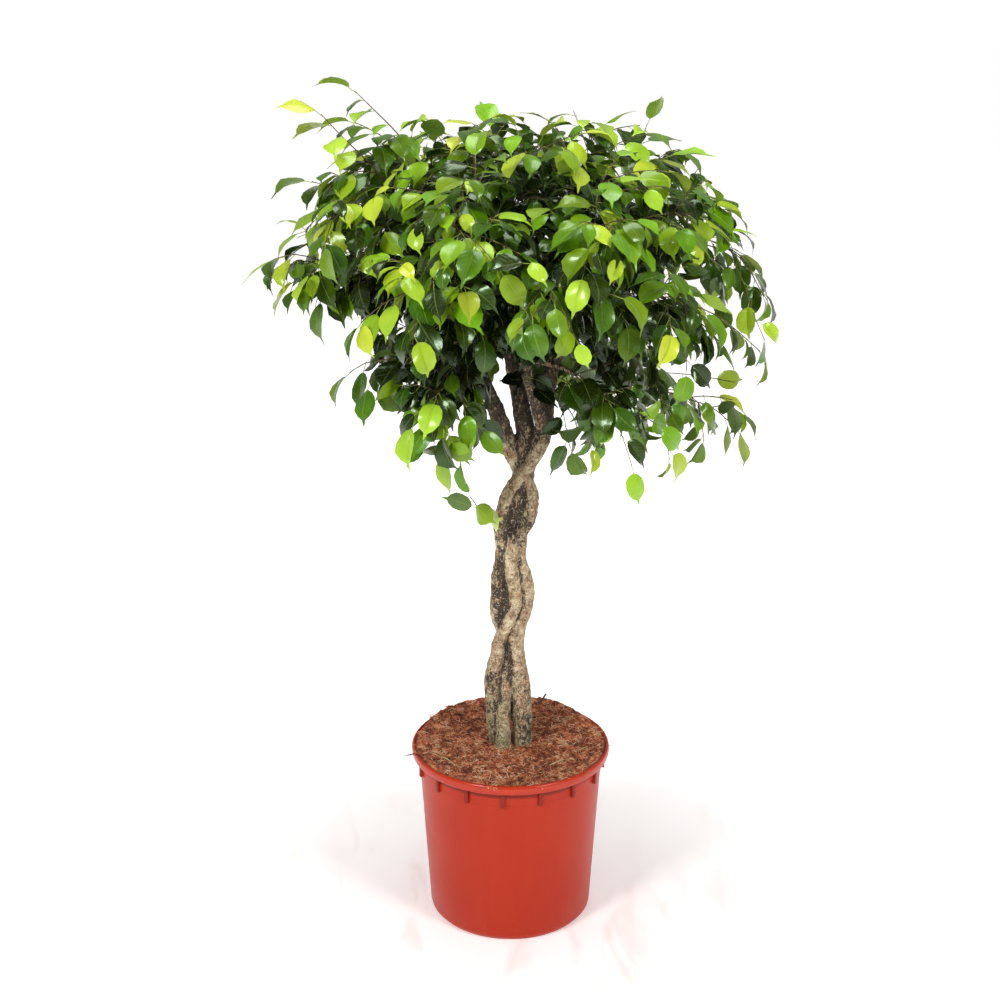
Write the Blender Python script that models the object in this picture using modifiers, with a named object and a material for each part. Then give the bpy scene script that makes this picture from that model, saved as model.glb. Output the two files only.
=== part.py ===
import math
import random

import bmesh
import bpy
from mathutils import Matrix, Vector
from mathutils.bvhtree import BVHTree

# Potted weeping fig with a braided trunk and an umbrella head.
# Metres, +Z up, origin on the floor under the middle of the pot, the front faces -Y.

UP = Vector((0.0, 0.0, 1.0))
CLEARANCE = 0.0003
MERGE = 0.00001
THIN = -1
ROUND = 2

# Nursery pot
POT_HEIGHT = 0.290
BASE_RADIUS = 0.131
WALL_TOP_RADIUS = 0.148
RIM_RADIUS = 0.160
WALL = 0.002
FLOOR = 0.003
CORNER = 0.006
FOOT_INSET = 0.006
FOOT_HEIGHT = 0.007
SHOULDER_HEIGHT = 0.2725
RIM_BAND = 0.014
RIM_THICKNESS = 0.0055
RIM_ROUNDING = 0.002
STEP_HEIGHT = 0.250
STEP_DEPTH = 0.0012
ROUND_STEPS = 48
RIB_COUNT = 16
RIB_OFFSET = math.radians(-94.3)
RIB_WIDTH = 0.007
RIB_OUTER_RADIUS = 0.1530
DRAIN_COUNT = 6
DRAIN_SIDES = 8
DRAIN_RADIUS = 0.006
DRAIN_CIRCLE = 0.092

# Soil
SOIL_EDGE_HEIGHT = 0.285
SOIL_MIDDLE_HEIGHT = 0.288
SOIL_RINGS = 3
LUMP_HEIGHT = 0.0016
FOOT_DEPTH = 0.170
FOOT_TOP = 0.300
FOOT_SPARE = 0.0006

# Stems from the soil up to their limbs: across, depth, height, radius.
# They cross in front and behind by turns, as they were plaited when young.
STEM_FRONT = (
    (-0.0118, -0.0120, 0.294, 0.0126), (-0.0110, -0.0080, 0.340, 0.0108),
    (-0.0080, -0.0010, 0.380, 0.0100), (-0.0030, 0.0080, 0.430, 0.0105),
    (-0.0100, 0.0115, 0.474, 0.0115), (-0.0200, 0.0080, 0.510, 0.0120),
    (-0.0190, 0.0030, 0.545, 0.0125), (-0.0195, 0.0000, 0.570, 0.0120),
    (-0.0120, 0.0010, 0.605, 0.0120), (-0.0130, 0.0010, 0.640, 0.0120),
    (-0.0155, -0.0030, 0.665, 0.0120), (-0.0110, -0.0090, 0.692, 0.0100),
    (-0.0055, -0.0130, 0.715, 0.0097), (0.0085, -0.0140, 0.738, 0.0095),
    (0.0290, -0.0110, 0.765, 0.0100), (0.0420, -0.0060, 0.790, 0.0125),
    (0.0500, -0.0030, 0.820, 0.0140), (0.0530, -0.0060, 0.870, 0.0120),
    (0.0640, -0.0100, 0.920, 0.0100), (0.0850, -0.0100, 0.965, 0.0080),
)
STEM_LEFT = (
    (-0.0235, 0.0070, 0.294, 0.0110), (-0.0275, 0.0060, 0.340, 0.0120),
    (-0.0285, 0.0030, 0.400, 0.0130), (-0.0210, -0.0010, 0.445, 0.0110),
    (-0.0165, -0.0060, 0.474, 0.0098), (-0.0030, -0.0110, 0.505, 0.0090),
    (0.0080, -0.0115, 0.535, 0.0090), (0.0040, -0.0100, 0.570, 0.0105),
    (-0.0010, -0.0080, 0.605, 0.0112), (0.0040, -0.0060, 0.640, 0.0120),
    (0.0215, -0.0030, 0.665, 0.0135), (0.0285, 0.0000, 0.690, 0.0138),
    (0.0295, 0.0020, 0.712, 0.0125), (0.0180, 0.0040, 0.742, 0.0120),
    (0.0040, 0.0020, 0.770, 0.0120), (-0.0070, 0.0000, 0.800, 0.0140),
    (-0.0180, -0.0020, 0.832, 0.0125), (-0.0400, -0.0070, 0.890, 0.0100),
    (-0.0670, -0.0150, 0.955, 0.0080),
)
STEM_RIGHT = (
    (0.0200, 0.0020, 0.294, 0.0152), (0.0190, 0.0000, 0.340, 0.0148),
    (0.0170, -0.0010, 0.385, 0.0145), (0.0105, -0.0020, 0.434, 0.0130),
    (0.0090, -0.0020, 0.474, 0.0128), (0.0180, 0.0020, 0.510, 0.0125),
    (0.0240, 0.0050, 0.540, 0.0128), (0.0215, 0.0060, 0.570, 0.0125),
    (0.0115, 0.0050, 0.605, 0.0120), (0.0145, 0.0080, 0.640, 0.0122),
    (0.0040, 0.0120, 0.665, 0.0130), (0.0040, 0.0140, 0.692, 0.0130),
    (0.0180, 0.0140, 0.720, 0.0130), (0.0240, 0.0100, 0.750, 0.0130),
    (0.0240, 0.0060, 0.782, 0.0130), (0.0210, 0.0080, 0.815, 0.0145),
    (0.0120, 0.0180, 0.865, 0.0125), (0.0010, 0.0350, 0.915, 0.0105),
    (-0.0080, 0.0520, 0.965, 0.0080),
)
# The limb that leaves the right one for the front of the head
LIMB_FRONT = (
    (0.0500, -0.0030, 0.815, 0.0110), (0.0420, -0.0200, 0.850, 0.0105),
    (0.0300, -0.0450, 0.895, 0.0090), (0.0180, -0.0720, 0.940, 0.0078),
)
# Heartwood where the stems have grown together, and the stub of the sprout low on the trunk
HEARTWOOD = (
    (0.0030, 0.0100, 0.325, 0.0070), (0.0020, 0.0090, 0.400, 0.0085),
    (-0.0020, 0.0050, 0.450, 0.0090), (-0.0040, 0.0010, 0.500, 0.0090),
    (0.0020, 0.0000, 0.560, 0.0110), (0.0000, 0.0010, 0.630, 0.0110),
    (0.0100, 0.0030, 0.700, 0.0120), (0.0180, 0.0020, 0.780, 0.0120),
    (0.0240, 0.0020, 0.820, 0.0100),
)
STUB = ((-0.0080, -0.0040, 0.655, 0.0030), (-0.0300, -0.0160, 0.672, 0.0022))
STEM_STEP = 0.020
GROWN_VOXEL = 0.0030
GROWN_TRIANGLES = 1700
LIMB_RADIUS = 0.0062
BRANCH_RADIUS = 0.0040
TIP_RADIUS = 0.0026
SUNK_RADIUS = 0.0020

# Umbrella head: how far the ends of the twigs reach from its heart
HEART = Vector((0.008, 0.0, 0.985))
REACH_RIGHT = 0.345
REACH_LEFT = 0.330
REACH_BACK = 0.325
REACH_FRONT = 0.315
REACH_UP = 0.292
FLATTENING = 0.86
SKIRT_RIGHT = 0.170
SKIRT_LEFT = 0.050
SKIRT_REACH_RIGHT = 0.97
SKIRT_REACH_LEFT = 0.58
SKIRT_LEAN = 0.6
TURN_SPREAD = 7.0
RISE_SPREAD = 4.0
REACH_SPREAD = (0.94, 1.04)
HEART_DROP = 0.035
INNER_SHARE = 0.52
INNER_SPREAD = 0.05
INNER_RISE = 0.045
SPRAY_BOW = 0.035
BOW_START = 0.40
BOW_END = 0.72
# Branches: how many sprays leave a fork, and where the fork is on the way to them
FORK_SIZE = 3
FORK_SHARE = 0.50
FORK_RISE = 0.006
LEADER_BOW = 0.004
BRANCH_BOW = 0.006
BRANCH_POINTS = 3
# Rows of sprays: elevation in degrees, how many, the first one's turn in degrees
SPRAY_ROWS = ((74, 4, 20), (53, 6, 5), (33, 8, 24), (11, 8, 10), (-12, 6, -60))
# Sprays that stand out of the head: base, end, and how far the middle bows up
LONE_SPRAYS = (
    ((-0.150, -0.030, 1.130), (-0.268, -0.060, 1.292), 0.000),
    ((-0.120, 0.020, 1.160), (-0.226, 0.010, 1.318), 0.010),
    ((0.150, 0.030, 1.130), (0.196, 0.010, 1.272), 0.005),
    ((-0.200, -0.030, 1.060), (-0.345, -0.050, 1.085), 0.030),
    ((-0.165, 0.055, 1.100), (-0.300, 0.075, 1.180), 0.020),
    ((-0.130, -0.060, 0.955), (-0.236, -0.085, 0.925), 0.020),
    ((-0.080, -0.085, 0.945), (-0.100, -0.130, 0.815), 0.020),
    (STUB[-1][:3], (-0.062, -0.036, 0.718), 0.004),
)

# Twigs and leaves
TWIG_RADIUS = 0.0024
TWIG_END_RADIUS = 0.0017
TWIG_SUNK_RADIUS = 0.0009
TWIG_POINTS = 4
TWIG_LEAD = 0.004
TWIG_GAP = 0.0008
TWIG_SHIFT = 0.004
SIDE_TWIGS = (0.45,)
SIDE_SPREAD = 0.05
SIDE_LENGTH = (0.060, 0.085)
SIDE_ALONG = 0.75
SIDE_ACROSS = (0.6, 1.0)
SIDE_RISE = (0.0, 0.35)
SIDE_DROP = (0.25, 0.6)
SIDE_BOW = 0.004
SIDE_POINTS = 2
MAIN_LEAVES = (0.30, 0.58, 0.80, 1.0)
SIDE_LEAVES = (0.62, 1.0)
STALK = 0.014
BLADE = 0.058
BLADE_HALF_WIDTH = 0.0176
BLADE_THICKNESS = 0.0015
STALK_HALF_WIDTH = 0.0005
STALK_THICKNESS = 0.0008
ROOT_DEPTH = 0.0035
KINK = 0.30
ARCHES = (0.35, 0.65, 0.95)
# Outline of the blade: share of its length, share of its half width
OUTLINE = ((0.0, 0.10), (0.17, 0.74), (0.46, 1.0), (0.77, 0.34), (1.0, 0.0))
LEAF_SCALE = (0.84, 1.14)
LEAF_GAP = 0.0006
LEAF_DROOP = (0.15, 0.75)
STALK_ALONG = 0.55
STALK_ACROSS = 0.75
STALK_OUT = 0.25
FACE_UP = 0.8
FACE_OUT = 0.75
FACE_SPREAD = 0.35
# Leaves droop less on the shoots that end above this height
SHOOT_HEIGHT = 1.27
SHOOT_DROOP = 0.35
# Colour of the lowest and of the highest leaves
OLD_LEAF = Vector((0.05, 0.17, 0.02))
YOUNG_LEAF = Vector((0.20, 0.36, 0.02))
YOUNG_HEIGHTS = (0.8, 1.3)
TRIES = 16
SEED = 7
TWIG_DRAWS = 50
SIDE_DRAWS = 100
LEAF_DRAWS = 500

part = bpy.data.collections.new("potted_weeping_fig")
tools = bpy.data.collections.new("cutters")


def start_clean():
    for item in list(bpy.data.objects):
        bpy.data.objects.remove(item)
    bpy.context.scene.collection.children.link(part)
    bpy.context.scene.collection.children.link(tools)


def finish(name, colour, roughness):
    material = bpy.data.materials.new(name)
    material.use_nodes = True
    shader = material.node_tree.nodes["Principled BSDF"]
    shader.inputs["Base Color"].default_value = (*colour, 1.0)
    shader.inputs["Roughness"].default_value = roughness
    shader.inputs["Metallic"].default_value = 0.0
    return material


def dress(item, colour, roughness):
    item.data.materials.clear()
    item.data.materials.append(finish(item.name, colour, roughness))


def apply_modifiers(item):
    bpy.context.view_layer.objects.active = item
    for modifier in list(item.modifiers):
        bpy.ops.object.modifier_apply(modifier=modifier.name)


def turned(name, profile, collection):
    mesh = bpy.data.meshes.new(name)
    points = [(radius, 0.0, height) for radius, height in profile]
    mesh.from_pydata(points, [(i, i + 1) for i in range(len(points) - 1)], [])
    item = bpy.data.objects.new(name, mesh)
    collection.objects.link(item)
    screw = item.modifiers.new("Turn", "SCREW")
    screw.steps = ROUND_STEPS
    screw.render_steps = ROUND_STEPS
    screw.use_merge_vertices = True
    screw.merge_threshold = MERGE
    apply_modifiers(item)
    return item


def three_sided(collection):
    """Outline that a thin twig is swept from, of the tip's radius."""
    curve = bpy.data.curves.new("twig_outline", "CURVE")
    spline = curve.splines.new("POLY")
    spline.points.add(2)
    for number, point in enumerate(spline.points):
        turn = -2 * math.pi * number / 3
        point.co = (TIP_RADIUS * math.cos(turn), TIP_RADIUS * math.sin(turn), 0.0, 1.0)
    spline.use_cyclic_u = True
    outline = bpy.data.objects.new("twig_outline", curve)
    collection.objects.link(outline)
    return outline


def tube(name, rows, sides_level, collection):
    curve = bpy.data.curves.new(name, "CURVE")
    curve.dimensions = "3D"
    curve.use_fill_caps = True
    outline = None
    if sides_level == THIN:
        outline = three_sided(collection)
        curve.bevel_mode = "OBJECT"
        curve.bevel_object = outline
    else:
        curve.bevel_depth = TIP_RADIUS
        curve.bevel_resolution = sides_level
    spline = curve.splines.new("POLY")
    spline.points.add(len(rows) - 1)
    for point, row in zip(spline.points, rows):
        point.co = (row[0], row[1], row[2], 1.0)
        point.radius = row[3] / TIP_RADIUS
    holder = bpy.data.objects.new(name + "_curve", curve)
    collection.objects.link(holder)
    graph = bpy.context.evaluated_depsgraph_get()
    mesh = bpy.data.meshes.new_from_object(holder.evaluated_get(graph))
    shape = bmesh.new()
    shape.from_mesh(mesh)
    bmesh.ops.remove_doubles(shape, verts=shape.verts, dist=MERGE)
    shape.to_mesh(mesh)
    shape.free()
    item = bpy.data.objects.new(name, mesh)
    item.matrix_world = holder.matrix_world
    collection.objects.link(item)
    bpy.data.objects.remove(holder)
    if outline:
        bpy.data.objects.remove(outline)
    return item


def combine(target, others, operation):
    group = bpy.data.collections.new(target.name + "_group")
    for other in others:
        group.objects.link(other)
    boolean = target.modifiers.new("Combine", "BOOLEAN")
    boolean.operation = operation
    boolean.operand_type = "COLLECTION"
    boolean.collection = group
    apply_modifiers(target)
    for other in others:
        bpy.data.objects.remove(other)
    bpy.data.collections.remove(group)


def smooth_path(points, step):
    """Rows along a smooth curve through the points, about one for each step."""
    ends = [points[0], *points, points[-1]]
    rows = []
    for before, start, end, after in zip(ends, ends[1:], ends[2:], ends[3:]):
        span = math.dist(start[:3], end[:3])
        count = max(1, round(span / step))
        for i in range(count):
            t = i / count
            row = []
            for a, b, c, d in zip(before, start, end, after):
                bend = (3.0 * b - 3.0 * c + d - a) * t + (2.0 * a - 5.0 * b + 4.0 * c - d)
                row.append(b + 0.5 * t * ((c - a) + t * bend))
            rows.append(tuple(row))
    rows.append(tuple(points[-1]))
    return rows


# Pot

def wall_radius(height):
    slope = (WALL_TOP_RADIUS - BASE_RADIUS) / SHOULDER_HEIGHT
    return BASE_RADIUS + slope * height


def pot_inside():
    """Inner side of the pot from the middle of its floor up to the rim."""
    collar = RIM_RADIUS - RIM_THICKNESS
    return [
        (0.0, FLOOR),
        (wall_radius(FLOOR) - WALL - CORNER, FLOOR),
        (wall_radius(FLOOR + CORNER) - WALL, FLOOR + CORNER),
        (wall_radius(SHOULDER_HEIGHT) - WALL, SHOULDER_HEIGHT + WALL),
        (collar, SHOULDER_HEIGHT + 2 * WALL),
        (collar, POT_HEIGHT - RIM_ROUNDING),
    ]


def pot_outside():
    """Outer side of the pot from the top of the rim down to the middle of its base."""
    band_bottom = POT_HEIGHT - RIM_BAND
    stepped = STEP_DEPTH + wall_radius(STEP_HEIGHT)
    return [
        (RIM_RADIUS - RIM_THICKNESS / 2, POT_HEIGHT),
        (RIM_RADIUS - RIM_ROUNDING / 2, POT_HEIGHT - RIM_ROUNDING / 2),
        (RIM_RADIUS, POT_HEIGHT - 2 * RIM_ROUNDING),
        (RIM_RADIUS - RIM_ROUNDING, band_bottom),
        (wall_radius(SHOULDER_HEIGHT) + STEP_DEPTH, SHOULDER_HEIGHT),
        (stepped, STEP_HEIGHT + STEP_DEPTH),
        (stepped - STEP_DEPTH, STEP_HEIGHT),
        (wall_radius(FOOT_HEIGHT), FOOT_HEIGHT),
        (BASE_RADIUS - FOOT_INSET, 0.0),
        (0.0, 0.0),
    ]


def build_pot():
    pot = turned("pot", pot_inside() + pot_outside(), part)
    inner = wall_radius(STEP_HEIGHT) - CLEARANCE
    depth = RIB_OUTER_RADIUS - inner
    top = SHOULDER_HEIGHT + 0.9 * WALL
    ribs = []
    for number in range(RIB_COUNT):
        turn = RIB_OFFSET + number * 2 * math.pi / RIB_COUNT
        centre = inner + depth / 2
        bpy.ops.mesh.primitive_cube_add(
            size=1.0,
            location=(centre * math.cos(turn), centre * math.sin(turn), (STEP_HEIGHT + top) / 2),
            rotation=(0.0, 0.0, turn),
        )
        rib = bpy.context.active_object
        rib.scale = (depth, RIB_WIDTH, top - STEP_HEIGHT)
        ribs.append(rib)
    combine(pot, ribs, "UNION")
    drains = []
    for number in range(DRAIN_COUNT):
        turn = (number + 0.5) * 2 * math.pi / DRAIN_COUNT
        bpy.ops.mesh.primitive_cylinder_add(
            vertices=DRAIN_SIDES, radius=DRAIN_RADIUS, depth=4 * FLOOR,
            location=(DRAIN_CIRCLE * math.cos(turn), DRAIN_CIRCLE * math.sin(turn), 0.0),
        )
        drains.append(bpy.context.active_object)
    combine(pot, drains, "DIFFERENCE")
    dress(pot, (0.53, 0.048, 0.019), 0.38)
    return pot


# Soil

def lump(x, y):
    """Height of the soil's lumps at a place."""
    wave = math.sin(61.0 * x + 1.3) * math.cos(53.0 * y - 0.4)
    fine = math.sin(137.0 * x - 97.0 * y) * math.sin(88.0 * x + 121.0 * y + 2.0)
    return LUMP_HEIGHT * (wave + fine)


def build_soil(feet):
    inside = pot_inside()
    low = [(radius - CLEARANCE, height + CLEARANCE) for radius, height in inside[1:-1]]
    edge = inside[-1][0] - CLEARANCE
    top = []
    for ring in range(SOIL_RINGS + 1):
        share = ring / SOIL_RINGS
        height = SOIL_MIDDLE_HEIGHT + (SOIL_EDGE_HEIGHT - SOIL_MIDDLE_HEIGHT) * share ** 2
        top.append((edge * share, height))
    low.reverse()
    soil = turned("soil", top + low + [(0.0, FLOOR + CLEARANCE)], part)
    flat = SOIL_EDGE_HEIGHT - 2 * LUMP_HEIGHT
    for vertex in soil.data.vertices:
        if vertex.co.z > flat:
            vertex.co.z += lump(vertex.co.x, vertex.co.y)
    combine(soil, feet, "DIFFERENCE")
    dress(soil, (0.16, 0.055, 0.026), 0.95)
    return soil


# Growth of the head

def blend(low, high, share):
    return low + (high - low) * share


def reach_across(turn):
    across = REACH_RIGHT if math.cos(turn) > 0.0 else REACH_LEFT
    deep = REACH_BACK if math.sin(turn) > 0.0 else REACH_FRONT
    return Vector((across * math.cos(turn), deep * math.sin(turn), 0.0))


def twig_end(turn, elevation):
    """Where a spray's main twig ends on the head, which is flatter than a ball."""
    if elevation < 0.0:
        rightness = 0.5 + 0.5 * math.cos(turn + SKIRT_LEAN)
        reach = reach_across(turn) * blend(SKIRT_REACH_LEFT, SKIRT_REACH_RIGHT, rightness)
        return HEART + reach - UP * blend(SKIRT_LEFT, SKIRT_RIGHT, rightness)
    wide = math.cos(elevation) ** FLATTENING
    high = math.sin(elevation) ** FLATTENING
    return HEART + reach_across(turn) * wide + UP * REACH_UP * high


def bow(start, first, end, lift, count):
    """Points of a curve that leaves the start along first and comes down on the end."""
    length = (end - start).length
    a = start + first * length * BOW_START
    b = blend(start, end, BOW_END) + UP * lift
    points = []
    for i in range(count + 1):
        t = i / count
        s = 1.0 - t
        points.append(start * s ** 3 + a * 3 * s * s * t + b * 3 * s * t * t + end * t ** 3)
    return points


def spray_plans():
    """Base, end and lift of every spray, before the limbs are drawn to their bases."""
    draw = random.Random(SEED)
    low_heart = HEART - UP * HEART_DROP
    plans = []
    for elevation, count, first in SPRAY_ROWS:
        for number in range(count):
            turn = first + 360.0 * number / count + draw.uniform(-TURN_SPREAD, TURN_SPREAD)
            rise = math.radians(elevation + draw.uniform(-RISE_SPREAD, RISE_SPREAD))
            end = twig_end(math.radians(turn), rise)
            end = HEART + (end - HEART) * draw.uniform(*REACH_SPREAD)
            inner = INNER_SHARE + draw.uniform(-INNER_SPREAD, INNER_SPREAD)
            flatness = max(0.0, math.cos(rise))
            base = blend(low_heart, end, inner) + UP * INNER_RISE * flatness
            plans.append((base, end, SPRAY_BOW * flatness))
    for base, end, lift in LONE_SPRAYS:
        plans.append((Vector(base), Vector(end), lift))
    return plans


def scaffold(plans):
    """Branches from the limbs to the spray bases, and the way each base points."""
    tops = []
    for stem in (STEM_FRONT, STEM_LEFT, STEM_RIGHT, LIMB_FRONT):
        top = Vector(stem[-1][:3])
        tops.append((top, (top - Vector(stem[-2][:3])).normalized()))
    crews = [[] for _ in tops]
    for number, (base, end, lift) in enumerate(plans):
        if number == len(plans) - 1:
            continue
        nearest = min(range(len(tops)), key=lambda k: (base - tops[k][0]).length)
        crews[nearest].append(number)
    branches = []
    pointing = {}
    for (top, heading), crew in zip(tops, crews):
        crew.sort(key=lambda n: math.atan2(plans[n][0].y - top.y, plans[n][0].x - top.x))
        for first in range(0, len(crew), FORK_SIZE):
            group = crew[first:first + FORK_SIZE]
            middle = sum((plans[n][0] for n in group), Vector()) / len(group)
            fork = blend(top, middle, FORK_SHARE) + UP * FORK_RISE
            start = top - heading * LIMB_RADIUS
            leader = bow(start, heading, fork, LEADER_BOW, BRANCH_POINTS)
            way = (leader[-1] - leader[-2]).normalized()
            for n in group:
                side = bow(fork, way, plans[n][0], BRANCH_BOW, BRANCH_POINTS)
                pointing[n] = (side[-1] - side[-2]).normalized()
                if n == group[0]:
                    branches.append(taper(leader + side[1:], LIMB_RADIUS, TIP_RADIUS))
                else:
                    branches.append(taper(side, BRANCH_RADIUS, TIP_RADIUS, SUNK_RADIUS))
    sprout = Vector(STUB[-1][:3]) - Vector(STUB[0][:3])
    pointing[len(plans) - 1] = sprout.normalized()
    return branches, pointing


def taper(points, first, last, sunk=None):
    """Rows of a path that thins from first to last, with a thinner root if it is sunk in another."""
    count = len(points) - 1
    rows = [(*point, blend(first, last, i / count)) for i, point in enumerate(points)]
    if sunk:
        rows[0] = (*points[0], sunk)
    return rows


def leaf_shape(arch, spare):
    """Corners and faces of one leaf: stalk along +X, blade arching down from its end."""
    stations = [(0.0, 0.0, STALK_HALF_WIDTH, STALK_THICKNESS)]
    for share, width in OUTLINE:
        half = max(BLADE_HALF_WIDTH * width, STALK_HALF_WIDTH)
        thick = blend(STALK_THICKNESS, BLADE_THICKNESS, width)
        stations.append((STALK + BLADE * share, KINK + arch * share, half, thick))
    corners = []
    place = Vector((0.0, 0.0, 0.0))
    last_run, last_angle = 0.0, 0.0
    for run, angle, half, thick in stations:
        middle = (angle + last_angle) / 2
        place = place + Vector((math.cos(middle), 0.0, -math.sin(middle))) * (run - last_run)
        rise = Vector((math.sin(angle), 0.0, math.cos(angle)))
        side = Vector((0.0, half + spare, 0.0))
        low = place - rise * (spare + thick / 2)
        corners += [low + side, place + rise * (thick / 2 + spare), low - side]
        last_run, last_angle = run, angle
    corners = corners[:-3] + [place]
    rings = len(stations) - 1
    faces = [(2, 1, 0)]
    for ring in range(rings - 1):
        for k in range(3):
            a, b = 3 * ring + k, 3 * ring + (k + 1) % 3
            faces.append((a, b, b + 3, a + 3))
    last = 3 * (rings - 1)
    faces += [(last + k, last + (k + 1) % 3, 3 * rings) for k in range(3)]
    return corners, faces


def leaf_place(at, along, side, draw, lively):
    """Matrix of a leaf on its twig: the stalk leaves sideways, the face turns out and up."""
    out = (at - HEART).normalized()
    flat_out = Vector((out.x, out.y, 0.0))
    across = along.cross(UP)
    if across.length < 0.2:
        across = out.cross(UP)
    across = across.normalized() * side
    droop = draw.uniform(*LEAF_DROOP) * lively
    stalk = along * STALK_ALONG + across * STALK_ACROSS + flat_out * STALK_OUT - UP * droop
    if side == 0:
        stalk = along.copy()
    stalk.normalize()
    face = UP * FACE_UP + out * FACE_OUT
    face += Vector([draw.uniform(-FACE_SPREAD, FACE_SPREAD) for _ in range(3)])
    face = (face - stalk * face.dot(stalk)).normalized()
    wide = face.cross(stalk)
    size = draw.uniform(*LEAF_SCALE)
    turn = Matrix((stalk, wide, face)).transposed().to_4x4()
    return Matrix.Translation(at) @ turn @ Matrix.Scale(size, 4)


def prism(rows, spare):
    """A three sided sleeve round a twig, used to test that others keep clear of it."""
    corners = []
    for i, row in enumerate(rows):
        here = Vector(row[:3])
        ahead = Vector(rows[min(i + 1, len(rows) - 1)][:3])
        behind = Vector(rows[max(i - 1, 0)][:3])
        along = (ahead - behind).normalized()
        side = along.orthogonal().normalized()
        other = along.cross(side)
        reach = 2 * (row[3] + spare)
        for k in range(3):
            angle = 2 * math.pi * k / 3
            corners.append(here + (side * math.cos(angle) + other * math.sin(angle)) * reach)
    faces = []
    for i in range(len(rows) - 1):
        for k in range(3):
            a, b = 3 * i + k, 3 * i + (k + 1) % 3
            faces.append((a, b, b + 3, a + 3))
    return corners, faces


class Room:
    """Keeps the shapes placed so far, to test whether a new one is clear of them."""

    def __init__(self):
        self.kept = []

    def tree(self, corners, faces):
        low = Vector([min(c[i] for c in corners) for i in range(3)])
        high = Vector([max(c[i] for c in corners) for i in range(3)])
        return BVHTree.FromPolygons(corners, faces), low, high

    def is_clear(self, corners, faces, owner, own_allowed=False):
        tree, low, high = self.tree(corners, faces)
        for other, other_low, other_high, other_owner in self.kept:
            if other_owner == owner and own_allowed:
                continue
            if any(low[i] > other_high[i] or high[i] < other_low[i] for i in range(3)):
                continue
            if tree.overlap(other):
                return False
        return True

    def keep(self, corners, faces, owner):
        tree, low, high = self.tree(corners, faces)
        self.kept.append((tree, low, high, owner))


def place_on(rows, share):
    """Point and direction at a share of a twig's length."""
    spot = share * (len(rows) - 1)
    index = min(int(spot), len(rows) - 2)
    a, b = Vector(rows[index][:3]), Vector(rows[index + 1][:3])
    return a + (b - a) * (spot - index), (b - a).normalized()


def grow_sprays(plans, pointing, wood):
    """Twigs and leaves of every spray, each clear of the other sprays and of the limbs."""
    room = Room()
    for rows in wood:
        room.keep(*prism(rows, 0.0), owner=-1)
    sprays = [[] for _ in plans]
    for number in reversed(range(len(plans))):
        draw = random.Random(SEED + TWIG_DRAWS + number)
        base, end, lift = plans[number]
        for turn in range(TRIES):
            shift = Vector([draw.uniform(-TWIG_SHIFT, TWIG_SHIFT) * turn for _ in range(3)])
            start = base + pointing[number] * CLEARANCE
            lead = base + pointing[number] * TWIG_LEAD
            path = [start, *bow(lead, pointing[number], end + shift, lift + shift.z, TWIG_POINTS)]
            rows = taper(path, TWIG_RADIUS, TWIG_END_RADIUS)
            shape = prism(rows[1:], TWIG_GAP)
            if room.is_clear(*shape, owner=number):
                break
        sprays[number].append(rows)
        room.keep(*shape, owner=number)
    for number, twigs in enumerate(sprays):
        draw = random.Random(SEED + SIDE_DRAWS + number)
        for side_number, share in enumerate(SIDE_TWIGS):
            if number == len(plans) - 1:
                continue
            for _ in range(TRIES):
                rows = side_twig(twigs[0], share, side_number, draw)
                shape = prism(rows[1:], TWIG_GAP)
                if room.is_clear(*shape, owner=number, own_allowed=True):
                    twigs.append(rows)
                    room.keep(*shape, owner=number)
                    break
    grown = []
    for number, twigs in enumerate(sprays):
        draw = random.Random(SEED + LEAF_DRAWS + number)
        lively = SHOOT_DROOP if plans[number][1].z > SHOOT_HEIGHT else 1.0
        leaves = []
        for twig_number, rows in enumerate(twigs):
            shares = MAIN_LEAVES if twig_number == 0 else SIDE_LEAVES
            for leaf_number, share in enumerate(shares):
                side = 1 if leaf_number % 2 else -1
                for _ in range(TRIES):
                    leaf = leaf_on(rows, share, side, draw, lively)
                    arch, matrix = leaf
                    corners, faces = leaf_shape(arch, LEAF_GAP)
                    corners = [matrix @ c for c in corners]
                    blade = [face for face in faces if min(face) >= 3]
                    if not room.is_clear(corners, faces, number, own_allowed=True):
                        continue
                    if room.is_clear(corners, blade, number):
                        leaves.append(leaf)
                        room.keep(corners, faces, number)
                        break
        grown.append((twigs, leaves))
    return grown


def side_twig(main, share, side_number, draw):
    at, along = place_on(main, share + draw.uniform(-SIDE_SPREAD, SIDE_SPREAD))
    across = along.cross(UP)
    if across.length < 0.2:
        across = along.orthogonal()
    across = across.normalized() * (1 if side_number else -1)
    heading = along * SIDE_ALONG + across * draw.uniform(*SIDE_ACROSS) + UP * draw.uniform(*SIDE_RISE)
    heading.normalize()
    length = draw.uniform(*SIDE_LENGTH)
    end = at + heading * length - UP * length * draw.uniform(*SIDE_DROP)
    path = bow(at, heading, end, SIDE_BOW, SIDE_POINTS)
    return taper(path, TWIG_RADIUS, TWIG_END_RADIUS, TWIG_SUNK_RADIUS)


def leaf_on(rows, share, side, draw, lively):
    at, along = place_on(rows, share)
    arch = ARCHES[draw.randrange(len(ARCHES))]
    if share == 1.0:
        return arch, leaf_place(at - along * ROOT_DEPTH, along, 0, draw, lively)
    return arch, leaf_place(at, along, side, draw, lively)


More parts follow.
